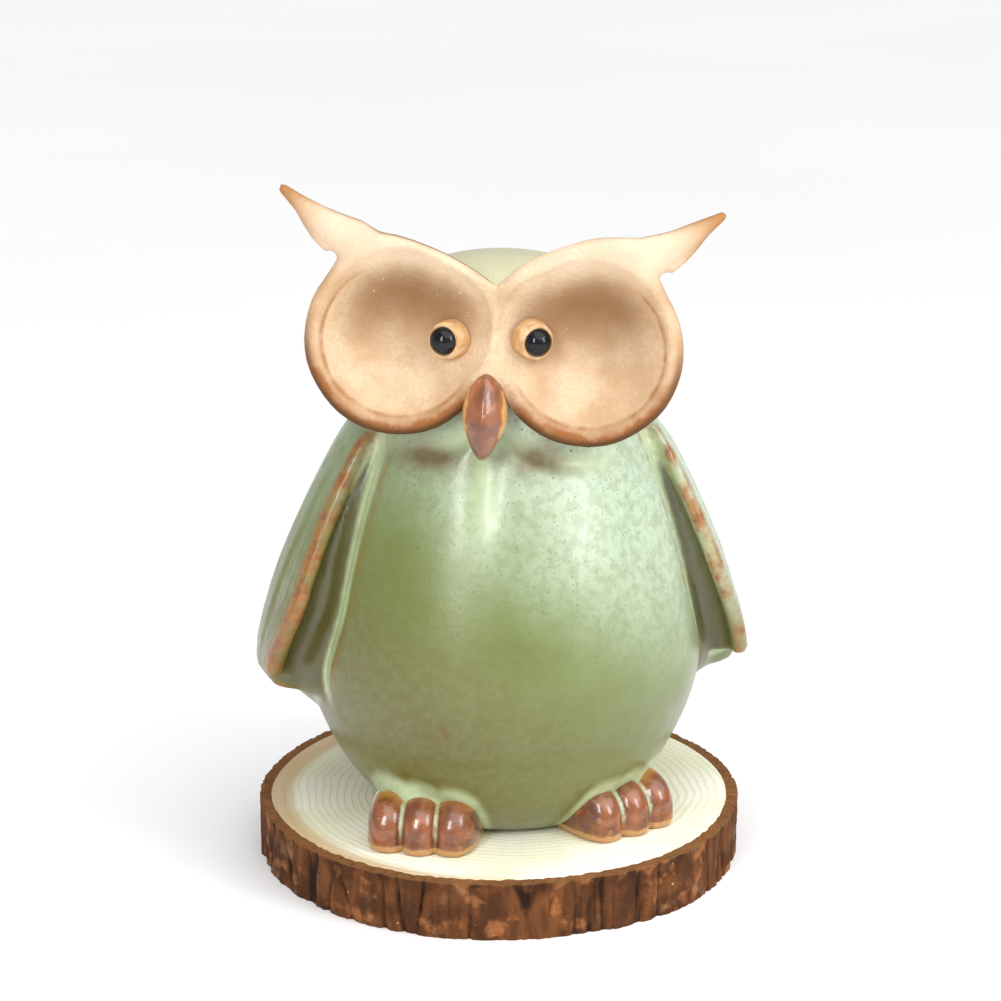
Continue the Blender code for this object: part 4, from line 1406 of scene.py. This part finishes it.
# %% Sapwood
sapwood, bench, shader = new_finish("sapwood", 0.55, ior=1.45, specular=0.3)
pith = bench.add(
    "ShaderNodeVectorMath",
    {0: bench.place(), 1: (slice_centre.x + 4 * MM, slice_centre.y - 3 * MM, 0)},
    operation="SUBTRACT",
)
level = bench.add(
    "ShaderNodeVectorMath", {0: pith.outputs[0], 1: (1, 1, 0)}, operation="MULTIPLY"
).outputs[0]
radius = bench.add("ShaderNodeVectorMath", {0: level}, operation="LENGTH").outputs["Value"]
warp = bench.add("ShaderNodeTexNoise", {"Vector": level, "Scale": 45.0, "Detail": 2.0})
warped = bench.plus(radius, bench.times(warp.outputs[0], 5 * MM))
ring_phase = bench.times(warped, 2 * math.pi / (1.9 * MM))
ring = bench.plus(bench.times(bench.math("SINE", ring_phase), 0.5), 0.5)
late_wood = bench.ramp(ring, 0.55, 1.0)
cloud = bench.group(drift, Size=26 * MM, Detail=2.0, Seed=51.0)
colour = bench.mix(cloud, tint(236, 238, 208), tint(252, 251, 236))
colour = bench.over(colour, late_wood, 0.34, 220, 208, 172)
turned = bench.add("ShaderNodeSeparateXYZ", {0: level})
around = bench.math("ARCTAN2", turned.outputs["Y"], turned.outputs["X"])
ray_place = bench.times(around, 55.0)
ray_lines = bench.add(
    "ShaderNodeTexNoise", {"W": ray_place, "Scale": 1.0, "Detail": 2.0}, noise_dimensions="1D"
)
rays = bench.ramp(ray_lines.outputs[0], 0.56, 0.7)
colour = bench.over(colour, rays, 0.22, 220, 206, 170)
wood_edge = half_width - BARK_THICKNESS
outer_edge = bench.ramp(radius, wood_edge - 3.2 * MM, wood_edge + 1 * MM)
colour = bench.over(colour, outer_edge, 0.75, 196, 160, 108)
pores = bench.group(specks, Spacing=0.9 * MM, Share=0.3, Radius=0.14, Seed=52.0)
colour = bench.over(colour, pores, 0.35, 188, 168, 124)
bench.feed(shader.inputs["Base Color"], colour)
bench.feed(shader.inputs["Roughness"], bench.ramp(late_wood, 0.0, 1.0, 0.62, 0.46))
fibres = bench.group(drift, Size=0.5 * MM, Detail=3.0, Seed=53.0, Low=0.3, High=0.7)
unpitted = bench.math("SUBTRACT", 1.0, pores)
raise_by(bench, shader, (late_wood, 0.05), (fibres, 0.04), (unpitted, 0.06))
finish(log_wood, sapwood, "sapwood", "slice", "wood_disc")
print(sapwood.name, len(sapwood.node_tree.nodes), "nodes")

# %% [markdown]
# ### Bark
#
# Weathered bark is painted darkest in its fissures, as shade, and is reddest where a plate has just
# flaked off. Its old face is grey brown with streaks down the grain, and crumbs of lichen and dust
# sit on it in pale flecks. The sawn top edge is smoother and lighter.

# %% Bark
bark_brown, bench, shader = new_finish("bark_brown", 0.85, ior=1.45, specular=0.25)
grain_place = bench.add(
    "ShaderNodeVectorMath", {0: bench.place(), 1: (1, 1, 0.16)}, operation="MULTIPLY"
).outputs[0]
streaks = bench.add("ShaderNodeTexNoise", {"Vector": grain_place, "Scale": 420.0, "Detail": 5.0})
streak_share = bench.ramp(streaks.outputs[0], 0.35, 0.68)
patches = bench.group(drift, Size=8 * MM, Detail=4.0, Seed=61.0, Low=0.4, High=0.6)
colour = bench.mix(patches, tint(84, 49, 25), tint(118, 72, 39))
colour = bench.over(colour, streak_share, 0.6, 66, 38, 22)
raw_share = bench.group(drift, Size=6 * MM, Detail=5.0, Seed=62.0, Low=0.54, High=0.64)
colour = bench.over(colour, raw_share, 0.75, 166, 104, 58)
grey = bench.group(drift, Size=9 * MM, Detail=4.0, Seed=63.0, Low=0.55, High=0.68)
colour = bench.over(colour, grey, 0.45, 146, 118, 92)
# Painted shade: the carved fissures are darkened almost to black.
colour = bench.mix(bench.ramp(bench.mask("carved"), 0.3, 0.8), colour, tint(42, 24, 13))
flecks = bench.group(specks, Spacing=2.1 * MM, Share=0.14, Radius=0.2, Seed=64.0)
colour = bench.over(colour, flecks, 0.8, 206, 176, 138)
at_top = bench.ramp(bench.axis("Z"), slice_top - 0.7 * MM, slice_top - 0.1 * MM)
sawn = bench.times(at_top, 0.8)
colour = bench.mix(sawn, colour, tint(136, 92, 54))
bench.feed(shader.inputs["Base Color"], colour)
bench.feed(shader.inputs["Roughness"], bench.ramp(raw_share, 0.0, 1.0, 0.9, 0.7))
crumbs = bench.group(drift, Size=1.0 * MM, Detail=4.0, Seed=65.0, Low=0.3, High=0.7)
raise_by(bench, shader, (streak_share, 0.25), (crumbs, 0.2), (flecks, 0.15))
finish(bark, bark_brown, "bark", "slice", "bark_ring")
print(bark_brown.name, len(bark_brown.node_tree.nodes), "nodes")

# %% [markdown]
# ## Studio
#
# A plain pale table in a pale room. A broad skylight from above brightens the brow and the wood,
# and two soft boxes in front, one on each side, draw the window streaks down the glaze.

# %% Table and room
bpy.ops.object.select_all(action="DESELECT")
bpy.ops.mesh.primitive_plane_add(size=60, location=(0, 0, 0))
table_top = new_piece("table_top")
settle(table_top)
pale_table, bench, shader = new_finish("pale_table", 0.8, specular=0.2)
cloud = bench.group(drift, Size=0.4, Detail=3.0, Seed=71.0)
bench.feed(shader.inputs["Base Color"], bench.mix(cloud, tint(244, 244, 245), tint(246, 246, 247)))
table_top.data.materials.append(pale_table)

room = bpy.data.worlds.new("room")
room.use_nodes = True
room.node_tree.nodes["Background"].inputs["Color"].default_value = (1, 1, 1, 1)
room.node_tree.nodes["Background"].inputs["Strength"].default_value = 0.38
bpy.context.scene.world = room
bpy.context.scene.view_settings.view_transform = "Standard"


# %% Soft boxes
def soft_box(name, place, size, power):
    """A square light that faces the middle of the owl."""
    lamp = bpy.data.lights.new(name, "AREA")
    lamp.shape = "RECTANGLE"
    lamp.size, lamp.size_y = size
    lamp.energy = power
    box = bpy.data.objects.new(name, lamp)
    bpy.context.scene.collection.objects.link(box)
    box.location = place
    aim = owl_axis + Vector((0, 0, 70 * MM)) - Vector(place)
    box.rotation_euler = aim.to_track_quat("-Z", "Y").to_euler()


soft_box("window_right", (0.52, -0.50, 0.42), (0.26, 0.42), 2.2)
soft_box("window_left", (-0.42, -0.62, 0.46), (0.14, 0.44), 3.0)

sky = bpy.data.lights.new("skylight", "SUN")
sky.energy = 2.3
sky.angle = math.radians(80)
skylight = bpy.data.objects.new("skylight", sky)
bpy.context.scene.collection.objects.link(skylight)
skylight.rotation_euler = (math.radians(18), math.radians(18), 0)

# %% Camera
bpy.ops.object.camera_add(
    location=(-0.113, -0.6105, 0.258), rotation=(math.radians(90 - 15.3), 0, math.radians(-10.5))
)
camera = bpy.context.active_object
camera.data.lens = 95.3
camera.data.sensor_width = 36
bpy.context.scene.camera = camera
